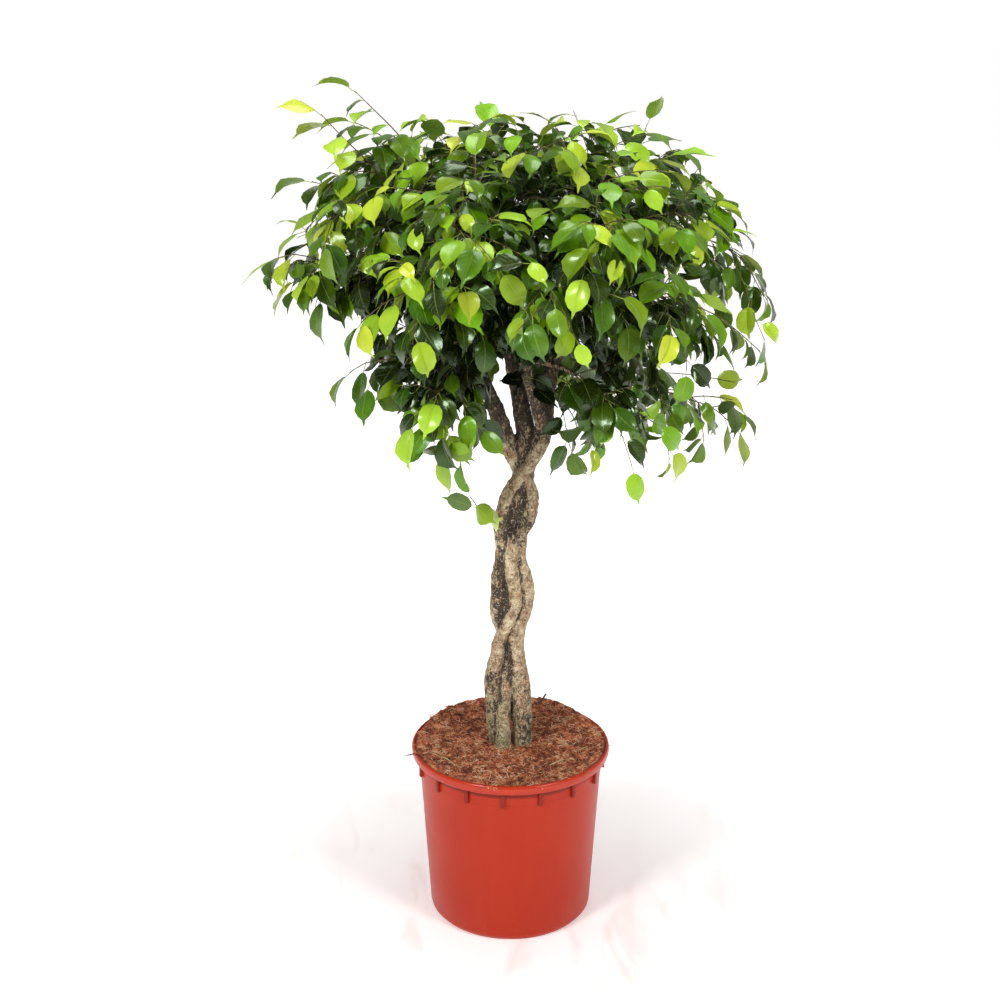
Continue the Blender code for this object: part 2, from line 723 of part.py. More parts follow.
def build_spray(number, twigs, leaves, height):
    name = f"leafy_spray_{number + 1:02d}"
    body = tube(name, twigs[0], THIN, part)
    extras = [tube(f"{name}_twig", rows, THIN, tools) for rows in twigs[1:]]
    for arch, matrix in leaves:
        corners, faces = leaf_shape(arch, 0.0)
        mesh = bpy.data.meshes.new(name + "_leaf")
        mesh.from_pydata([matrix @ c for c in corners], [], faces)
        leaf = bpy.data.objects.new(name + "_leaf", mesh)
        tools.objects.link(leaf)
        extras.append(leaf)
    combine(body, extras, "UNION")
    low, high = YOUNG_HEIGHTS
    young = min(1.0, max(0.0, (height - low) / (high - low)))
    dress(body, blend(OLD_LEAF, YOUNG_LEAF, young), 0.4)
    return body


def upright(name, x, y, low, high, radius):
    return tube(name, [(x, y, low, radius), (x, y, high, radius)], ROUND, tools)


def grow_together(trunk):
    """Rounds the joins where the stems have grown into each other, with few triangles."""
    remesh = trunk.modifiers.new("Grow together", "REMESH")
    remesh.mode = "VOXEL"
    remesh.voxel_size = GROWN_VOXEL
    apply_modifiers(trunk)
    triangles = sum(len(face.vertices) - 2 for face in trunk.data.polygons)
    decimate = trunk.modifiers.new("Fewer faces", "DECIMATE")
    decimate.ratio = GROWN_TRIANGLES / triangles
    apply_modifiers(trunk)


def build_plant():
    plans = spray_plans()
    branches, pointing = scaffold(plans)
    wood = [smooth_path(stem, STEM_STEP) for stem in (STEM_FRONT, STEM_LEFT, STEM_RIGHT, LIMB_FRONT)]
    trunk = tube("braided_trunk", wood[0], ROUND, part)
    stems = [tube("stem", rows, ROUND, tools) for rows in wood[1:] + [smooth_path(HEARTWOOD, STEM_STEP)]]
    combine(trunk, stems, "UNION")
    grow_together(trunk)
    others = [tube("branch", rows, THIN, tools) for rows in [STUB, *branches]]
    holes = []
    for stem in wood[:3]:
        x, y, _, radius = stem[0]
        others.append(upright("foot", x, y, FOOT_DEPTH, FOOT_TOP, radius + FOOT_SPARE))
        wide = radius + FOOT_SPARE + CLEARANCE
        holes.append(upright("stem_hole", x, y, FOOT_DEPTH - CLEARANCE, FOOT_TOP, wide))
    combine(trunk, others, "UNION")
    dress(trunk, (0.33, 0.26, 0.17), 0.85)
    for number, (twigs, leaves) in enumerate(grow_sprays(plans, pointing, wood + branches)):
        build_spray(number, twigs, leaves, plans[number][1].z)
    return holes


def smooth_round_pieces():
    for item in part.objects:
        item.data.shade_smooth()
        item.data.set_sharp_from_angle(angle=math.radians(35))


start_clean()
build_soil(build_plant())
build_pot()
smooth_round_pieces()
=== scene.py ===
# Weeping fig with a plaited trunk in a nursery pot: the finished look, built around the fixed frame.
import math
import random

import bmesh
import bpy
import numpy as np
from mathutils import Matrix, Vector
from mathutils.bvhtree import BVHTree


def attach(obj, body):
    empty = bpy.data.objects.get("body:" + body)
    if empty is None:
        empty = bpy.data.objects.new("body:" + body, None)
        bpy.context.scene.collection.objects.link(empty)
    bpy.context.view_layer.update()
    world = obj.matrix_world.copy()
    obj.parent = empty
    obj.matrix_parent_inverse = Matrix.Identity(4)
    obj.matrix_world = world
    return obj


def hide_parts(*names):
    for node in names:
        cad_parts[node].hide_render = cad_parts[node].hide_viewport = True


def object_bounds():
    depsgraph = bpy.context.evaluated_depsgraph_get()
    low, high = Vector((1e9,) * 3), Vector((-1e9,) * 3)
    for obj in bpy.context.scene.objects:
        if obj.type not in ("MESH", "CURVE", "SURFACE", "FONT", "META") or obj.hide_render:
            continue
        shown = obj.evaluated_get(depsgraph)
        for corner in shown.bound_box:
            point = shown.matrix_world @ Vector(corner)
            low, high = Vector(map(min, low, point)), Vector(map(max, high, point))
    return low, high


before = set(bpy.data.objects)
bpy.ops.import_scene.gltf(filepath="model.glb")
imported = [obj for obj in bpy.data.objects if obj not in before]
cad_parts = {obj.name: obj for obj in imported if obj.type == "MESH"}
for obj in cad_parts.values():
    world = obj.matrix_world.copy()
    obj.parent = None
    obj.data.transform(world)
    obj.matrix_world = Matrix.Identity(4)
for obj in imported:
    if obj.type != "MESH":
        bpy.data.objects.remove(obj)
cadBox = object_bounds()
print("frame loaded:", len(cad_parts), "nodes")

up = Vector((0.0, 0.0, 1.0))
tiny = 0.00001


# Working tools

def clamp(value):
    return min(1.0, max(0.0, value))


def blend(low, high, share):
    return low + (high - low) * share


def jitter(draw, reach):
    return draw.uniform(-reach, reach)


def slope(angle):
    # the way ahead, tipped down by the angle
    return Vector((math.cos(angle), 0.0, -math.sin(angle)))


def pick(pieces):
    # selects the pieces and makes the first one active
    bpy.ops.object.select_all(action="DESELECT")
    for piece in pieces:
        piece.select_set(True)
    bpy.context.view_layer.objects.active = pieces[0]


def joinAll(pieces):
    pick(pieces)
    bpy.ops.object.join()
    return pieces[0]


def editOn(piece):
    pick([piece])
    bpy.ops.object.mode_set(mode="EDIT")
    bpy.ops.mesh.select_mode(type="VERT")
    bpy.ops.mesh.select_all(action="SELECT")


def editOff():
    bpy.ops.object.mode_set(mode="OBJECT")


def pickCorners(piece, wanted):
    # in edit mode, selects the corners that pass the test of their number and place
    bpy.ops.mesh.select_all(action="DESELECT")
    shape = bmesh.from_edit_mesh(piece.data)
    shape.verts.ensure_lookup_table()
    for corner in shape.verts:
        corner.select_set(wanted(corner.index, corner.co))
    shape.select_flush_mode()
    bmesh.update_edit_mesh(piece.data)


def tidyMesh(piece, reach=tiny):
    editOn(piece)
    bpy.ops.mesh.remove_doubles(threshold=reach)
    bpy.ops.mesh.normals_make_consistent(inside=False)
    editOff()


def applyModifier(piece, kind, **settings):
    pick([piece])
    modifier = piece.modifiers.new(kind, kind)
    for setting, value in settings.items():
        setattr(modifier, setting, value)
    bpy.ops.object.modifier_apply(modifier=modifier.name)


def combine(piece, other, operation):
    applyModifier(piece, "BOOLEAN", object=other, operation=operation, solver="EXACT")
    bpy.data.objects.remove(other)


def roughen(piece, swells, where, **settings):
    # pushes the surface in and out by soft clouds: the name, size and depth of each
    for name, size, depth in swells:
        pattern = bpy.data.textures.new(name, "CLOUDS")
        pattern.noise_scale = size
        pattern.noise_depth = 3
        applyModifier(piece, "DISPLACE", texture=pattern, strength=depth, vertex_group=where,
                      texture_coords="LOCAL", **settings)
    piece.vertex_groups.clear()


def settle(piece):
    # puts the place, turn and size of the object into its mesh
    pick([piece])
    bpy.ops.object.transform_apply(location=True, rotation=True, scale=True)


def addPiece(name, mesh, moved):
    # a piece made of a copy of the mesh, moved by the matrix
    mesh = mesh.copy()
    mesh.transform(moved)
    piece = bpy.data.objects.new(name, mesh)
    bpy.context.scene.collection.objects.link(piece)
    return piece


def ringOf(piece, count, first):
    # copies of the piece all the way round, from the first turn on, joined
    ring = [addPiece(piece.name, piece.data, Matrix.Rotation(first + number * math.tau / count, 4, "Z"))
            for number in range(count)]
    bpy.data.objects.remove(piece)
    return joinAll(ring)


def paintWith(piece, material):
    piece.data.materials.clear()
    piece.data.materials.append(material)


def shadeSmooth(piece, degrees):
    pick([piece])
    bpy.ops.object.shade_smooth_by_angle(angle=math.radians(degrees))


def mark(piece, name, values, domain="POINT"):
    # writes a value for each corner or face, which materials read by the name
    layer = piece.data.attributes.new(name, "FLOAT", domain)
    layer.data.foreach_set("value", values)


def relaxed(values, a, b, times):
    # each value goes to the mean of its neighbours
    count = len(values)
    degree = np.maximum(np.bincount(a, minlength=count) + np.bincount(b, minlength=count), 1)
    for _ in range(times):
        values = (np.bincount(a, values[b], count) + np.bincount(b, values[a], count)) / degree
    return values


def markGrooves(piece, reach, depth):
    # how far each spot lies under the smoothed surface, which is where dirt and shade collect
    mesh = piece.data
    here, facing = np.empty(len(mesh.vertices) * 3), np.empty(len(mesh.vertices) * 3)
    mesh.vertices.foreach_get("co", here)
    mesh.vertices.foreach_get("normal", facing)
    here, facing = here.reshape(-1, 3), facing.reshape(-1, 3)
    pairs = np.empty(len(mesh.edges) * 2, dtype=np.int32)
    mesh.edges.foreach_get("vertices", pairs)
    a, b = pairs.reshape(-1, 2).T
    smooth = np.stack([relaxed(here[:, k], a, b, reach) for k in range(3)], axis=1)
    sunk = relaxed(((smooth - here) * facing).sum(axis=1), a, b, 2)
    mark(piece, "groove", np.clip(sunk / depth, -1.0, 1.0).astype(np.float32))


def report(stage, piece):
    piece.data.calc_loop_triangles()
    print(stage, len(piece.data.loop_triangles), "triangles")


def handOver(piece, slot, *nodes):
    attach(piece, "root")
    if nodes:
        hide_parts(*nodes)


# Material tools: newMaterial opens a material, and the others add nodes to the open one

bench = {}
signs = {"+": "ADD", "-": "SUBTRACT", "*": "MULTIPLY", "max": "MAXIMUM", "abs": "ABSOLUTE", "part": "FRACT"}


def paint(red, green, blue):
    # a colour read off in steps of 255, as the linear light that shaders use
    steps = [value / 255 for value in (red, green, blue)]
    return (*(((s + 0.055) / 1.055) ** 2.4 if s > 0.04 else s / 12.92 for s in steps), 1.0)


def feed(socket, value):
    # a socket takes another node's output or a plain value
    if isinstance(value, bpy.types.NodeSocket):
        bench["tree"].links.new(value, socket)
    else:
        socket.default_value = value


def shade(inputs):
    # sets the sockets of the open material's shader
    for name, value in inputs.items():
        feed(bench["tree"].nodes["Principled BSDF"].inputs[name], value)


def newMaterial(name):
    material = bpy.data.materials.new(name)
    material.use_nodes = True
    bench["tree"] = material.node_tree
    return material


def addNode(kind, inputs=None, **settings):
    item = bench["tree"].nodes.new("ShaderNode" + kind)
    for setting, value in settings.items():
        setattr(item, setting, value)
    for name, value in (inputs or {}).items():
        feed(item.inputs[name], value)
    return item


def calc(first, sign, second=0.0):
    return addNode("Math", {0: first, 1: second}, operation=signs[sign]).outputs[0]


def blendValues(share, first, second):
    return addNode("MapRange", {"Value": share, "To Min": first, "To Max": second}).outputs[0]


def smoothStep(value, low, high, fromValue=0.0, toValue=1.0):
    inputs = {"Value": value, "From Min": low, "From Max": high, "To Min": fromValue, "To Max": toValue}
    return addNode("MapRange", inputs, interpolation_type="SMOOTHSTEP").outputs[0]


def mixColours(share, first, second, kind="MIX"):
    inputs = {0: share, 6: first, 7: second}
    return addNode("Mix", inputs, data_type="RGBA", blend_type=kind).outputs[2]


def stain(colour, value, low, high, amount, shadeOf):
    # lays another shade over the colour, more and more of it as the value goes from low to high
    return mixColours(smoothStep(value, low, high, 0.0, amount), colour, paint(*shadeOf))


def colourBand(value, *stops):
    # each stop: its place, red, green, blue
    item = addNode("ValToRGB", {"Fac": value})
    band = item.color_ramp.elements
    for stop, (place, *shadeOf) in zip(band, (stops[0], stops[-1])):
        stop.position = place
        stop.color = paint(*shadeOf)
    for place, *shadeOf in stops[1:-1]:
        band.new(place).color = paint(*shadeOf)
    return item.outputs["Color"]


def noise(place, scale, detail=4.0, rough=0.55, warp=0.0):
    inputs = {"Vector": place, "Scale": scale, "Detail": detail, "Roughness": rough, "Distortion": warp}
    return addNode("TexNoise", inputs).outputs["Fac"]


def places(squeeze=(1.0, 1.0, 1.0)):
    # the piece's own coordinates, in metres
    own = addNode("TexCoord").outputs["Object"]
    return addNode("Mapping", {"Vector": own, "Scale": squeeze}).outputs["Vector"]


def heightOf(place):
    return addNode("SeparateXYZ", {0: place}).outputs[2]


def distance(place, spot=(0.0, 0.0, 0.0)):
    return addNode("VectorMath", {0: place, 1: spot}, operation="DISTANCE").outputs["Value"]


def fromAxis():
    # how far each spot is from the upright line through the middle
    return distance(places((1.0, 1.0, 0.0)))


def marked(name):
    return addNode("Attribute", attribute_name=name).outputs["Fac"]


def bump(height, depth, strength=1.0):
    item = addNode("Bump", {"Height": height, "Distance": depth, "Strength": strength})
    shade({"Normal": item.outputs["Normal"]})


# Studio: pale floor, soft light and the camera where the picture was taken from

studio = {
    "camera": (0.0, -2.5, 1.528), "tiltDown": 18.29, "turn": 0.387,
    "focalPixels": 1702.0, "imagePixels": 1000.0, "sensor": 36.0,
    "aim": (0.0, 0.0, 0.75),
    # place, width, power of each softbox
    "softboxes": (
        ((-1.9, -2.3, 2.6), 0.8, 64.0),
        ((2.1, -2.1, 2.4), 0.8, 50.0),
        ((0.0, 0.1, 3.2), 1.3, 38.0),
    ),
    "white": (1.0, 1.0, 1.0, 1.0), "surround": 0.38,
    # the floor glows a little, less so near the pot: from, to, near and far glow
    "floorSize": 80.0, "floorDrop": 0.0005, "paper": (252, 249, 248), "roughPaper": 0.75,
    "glowTint": (1.0, 0.985, 0.98, 1.0), "glow": (0.3, 1.6, 0.25, 0.66),
    # a little dirt where the pot was dragged over it
    "dragged": (0.75, 0.1), "dragStretch": (7.0, 2.0, 1.0), "drags": (2.2, 6.0, 0.6, 0.8),
    "smudges": (0.50, 0.72), "smudge": (236, 218, 212),
    "backdropRadius": 24.0, "backdropHeight": 20.0, "backdropSides": 96,
    "backdropSunk": 0.1, "backdropRough": 0.9, "backdropGlow": 0.9,
}


def setStudio():
    angles = (math.radians(90.0 - studio["tiltDown"]), 0.0, math.radians(studio["turn"]))
    bpy.ops.object.camera_add(location=studio["camera"], rotation=angles)
    camera = bpy.context.object
    camera.data.sensor_width = studio["sensor"]
    camera.data.lens = studio["sensor"] * studio["focalPixels"] / studio["imagePixels"]
    bpy.context.scene.camera = camera

    for place, width, power in studio["softboxes"]:
        way = Vector(studio["aim"]) - Vector(place)
        turn = way.to_track_quat("-Z", "Y").to_euler()
        bpy.ops.object.light_add(type="AREA", location=place, rotation=turn)
        lamp = bpy.context.object.data
        lamp.size = width
        lamp.energy = power

    world = bpy.data.worlds.new("studio")
    bpy.context.scene.world = world
    world.use_nodes = True
    sky = world.node_tree.nodes["Background"]
    sky.inputs["Color"].default_value = studio["white"]
    sky.inputs["Strength"].default_value = studio["surround"]
    bpy.context.scene.view_settings.view_transform = "Standard"

    material = newMaterial("studioFloor")
    away = distance(places())
    streaks = smoothStep(noise(places(studio["dragStretch"]), *studio["drags"]), *studio["smudges"])
    dirtAndShade = calc(streaks, "*", smoothStep(away, *studio["dragged"]))
    shade({"Base Color": mixColours(dirtAndShade, paint(*studio["paper"]), paint(*studio["smudge"])),
           "Roughness": studio["roughPaper"],
           "Emission Color": studio["glowTint"], "Emission Strength": smoothStep(away, *studio["glow"])})
    bpy.ops.mesh.primitive_plane_add(size=studio["floorSize"], location=(0.0, 0.0, -studio["floorDrop"]))
    floor = bpy.context.object
    floor.name = "studioFloor"
    settle(floor)
    paintWith(floor, material)

    # a white wall far behind, which only closes the view and leaves the light as it is
    material = newMaterial("studioBackdrop")
    shade({"Roughness": studio["backdropRough"],
           "Emission Color": studio["white"], "Emission Strength": studio["backdropGlow"]})
    tall = studio["backdropHeight"]
    bpy.ops.mesh.primitive_cylinder_add(
        vertices=studio["backdropSides"], radius=studio["backdropRadius"], depth=tall,
        end_fill_type="NOTHING", location=(0.0, 0.0, tall / 2 - studio["backdropSunk"]))
    backdrop = bpy.context.object
    backdrop.name = "studioBackdrop"
    settle(backdrop)
    paintWith(backdrop, material)
    backdrop.visible_diffuse = False
    backdrop.visible_glossy = False
    backdrop.visible_transmission = False
    backdrop.visible_shadow = False
    print("studio:", len(studio["softboxes"]), "softboxes")


# Nursery pot: thin moulded plastic, rolled rim, stepped collar and short ribs under it

pot = {
    "steps": 160,
    "baseRadius": 0.131, "wallTopRadius": 0.148, "shoulder": 0.2725,
    "wall": 0.002, "floor": 0.003, "corner": 0.006,
    # the rounded foot: how far in and how high, two rows of its curve as shares of these, and its end
    "footInset": 0.006, "footHeight": 0.007, "footCurve": ((0.62, 0.44), (0.14, 0.93)), "footEnd": 1.6,
    "stepHeight": 0.250, "stepDepth": 0.0012,
    "collarRadius": 0.1545,
    "ribs": 16, "ribOffset": -94.3, "ribWidth": 0.007, "ribOuterRadius": 0.1530, "ribRounding": 0.0007,
    "ribTop": 0.9,
    "drains": 6, "drainRadius": 0.006, "drainCircle": 0.092, "drainSides": 24, "drainDepth": 0.02,
    "sharpAngle": 35,
    # the rolled rim from its underside round to the collar inside: radius, height
    "rim": (
        (0.1518, 0.2734), (0.1560, 0.2743), (0.1576, 0.2749), (0.1589, 0.2764), (0.1597, 0.2790),
        (0.1600, 0.2822), (0.1599, 0.2852), (0.1593, 0.2876), (0.1583, 0.2892), (0.1570, 0.2899),
        (0.1558, 0.2899), (0.1549, 0.2892), (0.1545, 0.2880),
    ),
}

plastic = {
    "wall": (172, 39, 6), "rim": (178, 44, 10), "rimStart": (0.272, 0.280),
    # faint flow lines and clouds in the plastic: their pattern, then from, to, amount and shade
    "flowStretch": (1.0, 1.0, 0.12), "flow": (60.0, 3.0), "flowStain": (0.3, 0.8, 0.16, (186, 58, 22)),
    "clouds": (9.0, 4.0), "cloudStain": (0.35, 0.75, 0.22, (156, 34, 8)),
    # painted shade under the rim and on the ribs, with a little dirt: heights, and distances from the middle
    "underRim": (0.2740, 0.2730), "crease": (0.2620, 0.2675, 0.0, 0.72), "ribs": (0.1494, 0.1504, 0.0, 0.66),
    "dirtAndShade": (104, 18, 4),
    # a dusty film low on the wall
    "dust": (140.0, 6.0, 0.7), "dusty": (0.58, 0.80), "filmHeights": (0.07, 0.0, 0.05, 0.375),
    "film": (196, 150, 128),
    "roughness": (0.3, 0.8, 0.34, 0.46), "rimGloss": 0.14, "specular": (0.25, 0.38),
    "grain": (900.0, 2.0), "grainShare": 0.3, "grainDepth": 0.0003, "grainStrength": 0.5,
}


def wallRadius(height):
    return pot["baseRadius"] + (pot["wallTopRadius"] - pot["baseRadius"]) * height / pot["shoulder"]


def turnRings(name, rows, steps):
    # a circle extruded ring by ring through the rows, then closed at both ends
    radius, height = rows[0]
    bpy.ops.mesh.primitive_circle_add(vertices=steps, radius=radius, location=(0.0, 0.0, height))
    piece = bpy.context.object
    piece.name = name
    settle(piece)
    editOn(piece)
    bpy.ops.mesh.edge_face_add()
    bpy.ops.mesh.select_all(action="SELECT")
    for nextRadius, nextHeight in rows[1:]:
        bpy.ops.mesh.extrude_region_move(
            TRANSFORM_OT_translate={"value": (0.0, 0.0, nextHeight - height)})
        grow = nextRadius / radius
        bpy.ops.transform.resize(value=(grow, grow, 1.0), center_override=(0.0, 0.0, nextHeight))
        radius, height = nextRadius, nextHeight
    editOff()
    tidyMesh(piece)
    return piece


def potRows():
    top, step = pot["shoulder"], pot["stepHeight"]
    thin, deep = pot["wall"], pot["stepDepth"]
    low = pot["floor"] + pot["corner"]
    inset, foot = pot["footInset"], pot["footHeight"]
    rows = [(pot["baseRadius"] - inset, 0.0)]
    rows += [(wallRadius(foot) - inward * inset, rise * foot) for inward, rise in pot["footCurve"]]
    rows += [(wallRadius(height), height) for height in (pot["footEnd"] * foot, 0.25 * step, 0.5 * step,
                                                         0.75 * step, step)]
    rows += [(wallRadius(step) + deep, step + deep), (wallRadius(top) + deep, top - deep)]
    rows += [(wallRadius(top) + 2 * deep, top), *pot["rim"], (pot["collarRadius"], top + 2 * thin)]
    rows += [(wallRadius(top) - thin, top + thin)]
    rows += [(wallRadius(share * top) - thin, share * top) for share in (0.75, 0.5, 0.25)]
    rows += [(wallRadius(low) - thin, low), (wallRadius(low) - 2 * thin, pot["floor"] + thin)]
    rows += [(wallRadius(low) - thin - pot["corner"], pot["floor"])]
    return rows


def plasticSkin():
    material = newMaterial("pottedPlastic")
    place = places()
    height = heightOf(place)
    rim = smoothStep(height, *plastic["rimStart"])
    flow = noise(places(plastic["flowStretch"]), *plastic["flow"])
    clouds = noise(place, *plastic["clouds"])
    colour = mixColours(rim, paint(*plastic["wall"]), paint(*plastic["rim"]))
    colour = stain(colour, flow, *plastic["flowStain"])
    colour = stain(colour, clouds, *plastic["cloudStain"])
    # painted shade in the crease under the rim and on the ribs, with a little dirt
    dirtAndShade = calc(smoothStep(height, *plastic["crease"]), "max", smoothStep(fromAxis(), *plastic["ribs"]))
    dirtAndShade = calc(dirtAndShade, "*", smoothStep(height, *plastic["underRim"]))
    colour = mixColours(dirtAndShade, colour, paint(*plastic["dirtAndShade"]))
    dust = smoothStep(noise(place, *plastic["dust"]), *plastic["dusty"])
    film = calc(dust, "*", smoothStep(height, *plastic["filmHeights"]))
    colour = mixColours(film, colour, paint(*plastic["film"]))
    rough = calc(smoothStep(clouds, *plastic["roughness"]), "-", calc(rim, "*", plastic["rimGloss"]))
    shade({"Base Color": colour, "Roughness": rough,
           "Specular IOR Level": blendValues(rim, *plastic["specular"])})
    share = plastic["grainShare"]
    grain = calc(calc(flow, "*", 1.0 - share), "+", calc(noise(place, *plastic["grain"]), "*", share))
    bump(grain, plastic["grainDepth"], plastic["grainStrength"])
    return material


def makePot():
    piece = turnRings("nurseryPot", potRows(), pot["steps"])
    inner = wallRadius(pot["stepHeight"]) - wood["clearance"]
    low, top = pot["stepHeight"], pot["shoulder"] + pot["ribTop"] * pot["wall"]
    depth = pot["ribOuterRadius"] - inner
    bpy.ops.mesh.primitive_cube_add(size=1.0, location=(inner + depth / 2, 0.0, (low + top) / 2))
    rib = bpy.context.object
    rib.scale = (depth, pot["ribWidth"], top - low)
    settle(rib)
    applyModifier(rib, "BEVEL", width=pot["ribRounding"], segments=2)
    combine(piece, ringOf(rib, pot["ribs"], math.radians(pot["ribOffset"])), "UNION")
    bpy.ops.mesh.primitive_cylinder_add(vertices=pot["drainSides"], radius=pot["drainRadius"],
                                        depth=pot["drainDepth"], location=(pot["drainCircle"], 0.0, 0.0))
    drain = bpy.context.object
    settle(drain)
    combine(piece, ringOf(drain, pot["drains"], math.pi / pot["drains"]), "DIFFERENCE")
    paintWith(piece, plasticSkin())
    shadeSmooth(piece, pot["sharpAngle"])
    handOver(piece, "pot_plastic", "pot")
    report("pot:", piece)


# Stems: across, depth, height, radius, the same routes as in the frame

wood = {
    "front": (
        (-0.0118, -0.0120, 0.294, 0.0126), (-0.0110, -0.0080, 0.340, 0.0108),
        (-0.0080, -0.0010, 0.380, 0.0100), (-0.0030, 0.0080, 0.430, 0.0105),
        (-0.0100, 0.0115, 0.474, 0.0115), (-0.0200, 0.0080, 0.510, 0.0120),
        (-0.0190, 0.0030, 0.545, 0.0125), (-0.0195, 0.0000, 0.570, 0.0120),
        (-0.0120, 0.0010, 0.605, 0.0120), (-0.0130, 0.0010, 0.640, 0.0120),
        (-0.0155, -0.0030, 0.665, 0.0120), (-0.0110, -0.0090, 0.692, 0.0100),
        (-0.0055, -0.0130, 0.715, 0.0097), (0.0085, -0.0140, 0.738, 0.0095),
        (0.0290, -0.0110, 0.765, 0.0100), (0.0420, -0.0060, 0.790, 0.0125),
        (0.0500, -0.0030, 0.820, 0.0140), (0.0530, -0.0060, 0.870, 0.0120),
        (0.0640, -0.0100, 0.920, 0.0100), (0.0850, -0.0100, 0.965, 0.0080),
    ),
    "left": (
        (-0.0235, 0.0070, 0.294, 0.0110), (-0.0275, 0.0060, 0.340, 0.0120),
        (-0.0285, 0.0030, 0.400, 0.0130), (-0.0210, -0.0010, 0.445, 0.0110),
        (-0.0165, -0.0060, 0.474, 0.0098), (-0.0030, -0.0110, 0.505, 0.0090),
        (0.0080, -0.0115, 0.535, 0.0090), (0.0040, -0.0100, 0.570, 0.0105),
        (-0.0010, -0.0080, 0.605, 0.0112), (0.0040, -0.0060, 0.640, 0.0120),
        (0.0215, -0.0030, 0.665, 0.0135), (0.0285, 0.0000, 0.690, 0.0138),
        (0.0295, 0.0020, 0.712, 0.0125), (0.0180, 0.0040, 0.742, 0.0120),
        (0.0040, 0.0020, 0.770, 0.0120), (-0.0070, 0.0000, 0.800, 0.0140),
        (-0.0180, -0.0020, 0.832, 0.0125), (-0.0400, -0.0070, 0.890, 0.0100),
        (-0.0670, -0.0150, 0.955, 0.0080),
    ),
    "right": (
        (0.0200, 0.0020, 0.294, 0.0152), (0.0190, 0.0000, 0.340, 0.0148),
        (0.0170, -0.0010, 0.385, 0.0145), (0.0105, -0.0020, 0.434, 0.0130),
        (0.0090, -0.0020, 0.474, 0.0128), (0.0180, 0.0020, 0.510, 0.0125),
        (0.0240, 0.0050, 0.540, 0.0128), (0.0215, 0.0060, 0.570, 0.0125),
        (0.0115, 0.0050, 0.605, 0.0120), (0.0145, 0.0080, 0.640, 0.0122),
        (0.0040, 0.0120, 0.665, 0.0130), (0.0040, 0.0140, 0.692, 0.0130),
        (0.0180, 0.0140, 0.720, 0.0130), (0.0240, 0.0100, 0.750, 0.0130),
        (0.0240, 0.0060, 0.782, 0.0130), (0.0210, 0.0080, 0.815, 0.0145),
        (0.0120, 0.0180, 0.865, 0.0125), (0.0010, 0.0350, 0.915, 0.0105),
        (-0.0080, 0.0520, 0.965, 0.0080),
    ),
    "frontLimb": (
        (0.0500, -0.0030, 0.815, 0.0110), (0.0420, -0.0200, 0.850, 0.0105),
        (0.0300, -0.0450, 0.895, 0.0090), (0.0180, -0.0720, 0.940, 0.0078),
    ),
    "heartwood": (
        (0.0030, 0.0100, 0.325, 0.0070), (0.0020, 0.0090, 0.400, 0.0085),
        (-0.0020, 0.0050, 0.450, 0.0090), (-0.0040, 0.0010, 0.500, 0.0090),
        (0.0020, 0.0000, 0.560, 0.0110), (0.0000, 0.0010, 0.630, 0.0110),
        (0.0100, 0.0030, 0.700, 0.0120), (0.0180, 0.0020, 0.780, 0.0120),
        (0.0240, 0.0020, 0.820, 0.0100),
    ),
    "stub": ((-0.0080, -0.0040, 0.655, 0.0030), (-0.0300, -0.0160, 0.672, 0.0022)),
    "step": 0.020, "fineStep": 0.006, "branchStep": 0.010,
    "footDepth": 0.170, "footTop": 0.290, "footSpare": 0.0006,
    "limbRadius": 0.0062, "branchRadius": 0.0040, "tipRadius": 0.0026, "sunkRadius": 0.0020,
    "voxel": 0.0017, "smoothing": 0.6, "smoothings": 10,
    "stemSides": 16, "branchSides": 8,
    "clearance": 0.0003,
    # a healed knob on the stem that crosses the front
    "knob": (
        (0.0030, -0.0110, 0.542, 0.0070), (0.0065, -0.0160, 0.549, 0.0066),
        (0.0085, -0.0150, 0.556, 0.0050),
    ),
}
limbNames = ("front", "left", "right", "frontLimb")


def smoothPath(points, step):
    # rows along a smooth curve through the points, about one for each step
    ends = [points[0], *points, points[-1]]
    rows = []
    for before, start, end, after in zip(ends, ends[1:], ends[2:], ends[3:]):
        count = max(1, round(math.dist(start[:3], end[:3]) / step))
        for i in range(count):
            t = i / count
            row = []
            for a, b, c, d in zip(before, start, end, after):
                bend = (3.0 * b - 3.0 * c + d - a) * t + (2.0 * a - 5.0 * b + 4.0 * c - d)
                row.append(b + 0.5 * t * ((c - a) + t * bend))
            rows.append(tuple(row))
    rows.append(tuple(points[-1]))
    return rows


def sweepTubes(name, paths, sides):
    # round stems swept along their rows of place and radius, in one mesh
    bpy.ops.curve.primitive_nurbs_path_add()
    piece = bpy.context.object
    piece.name = name
    curve = piece.data
    curve.splines.clear()
    curve.bevel_depth = 1.0
    curve.bevel_resolution = (sides - 4) // 2
    curve.use_fill_caps = True
    for rows in paths:
        spline = curve.splines.new("POLY")
        spline.points.add(len(rows) - 1)
        for point, (*place, radius) in zip(spline.points, rows):
            point.co = (*place, 1.0)
            point.radius = radius
    pick([piece])
    bpy.ops.object.convert(target="MESH")
    piece = bpy.context.object
    tidyMesh(piece)
    return piece


# Head: the sprays grow by the same rule and the same draws as in the frame

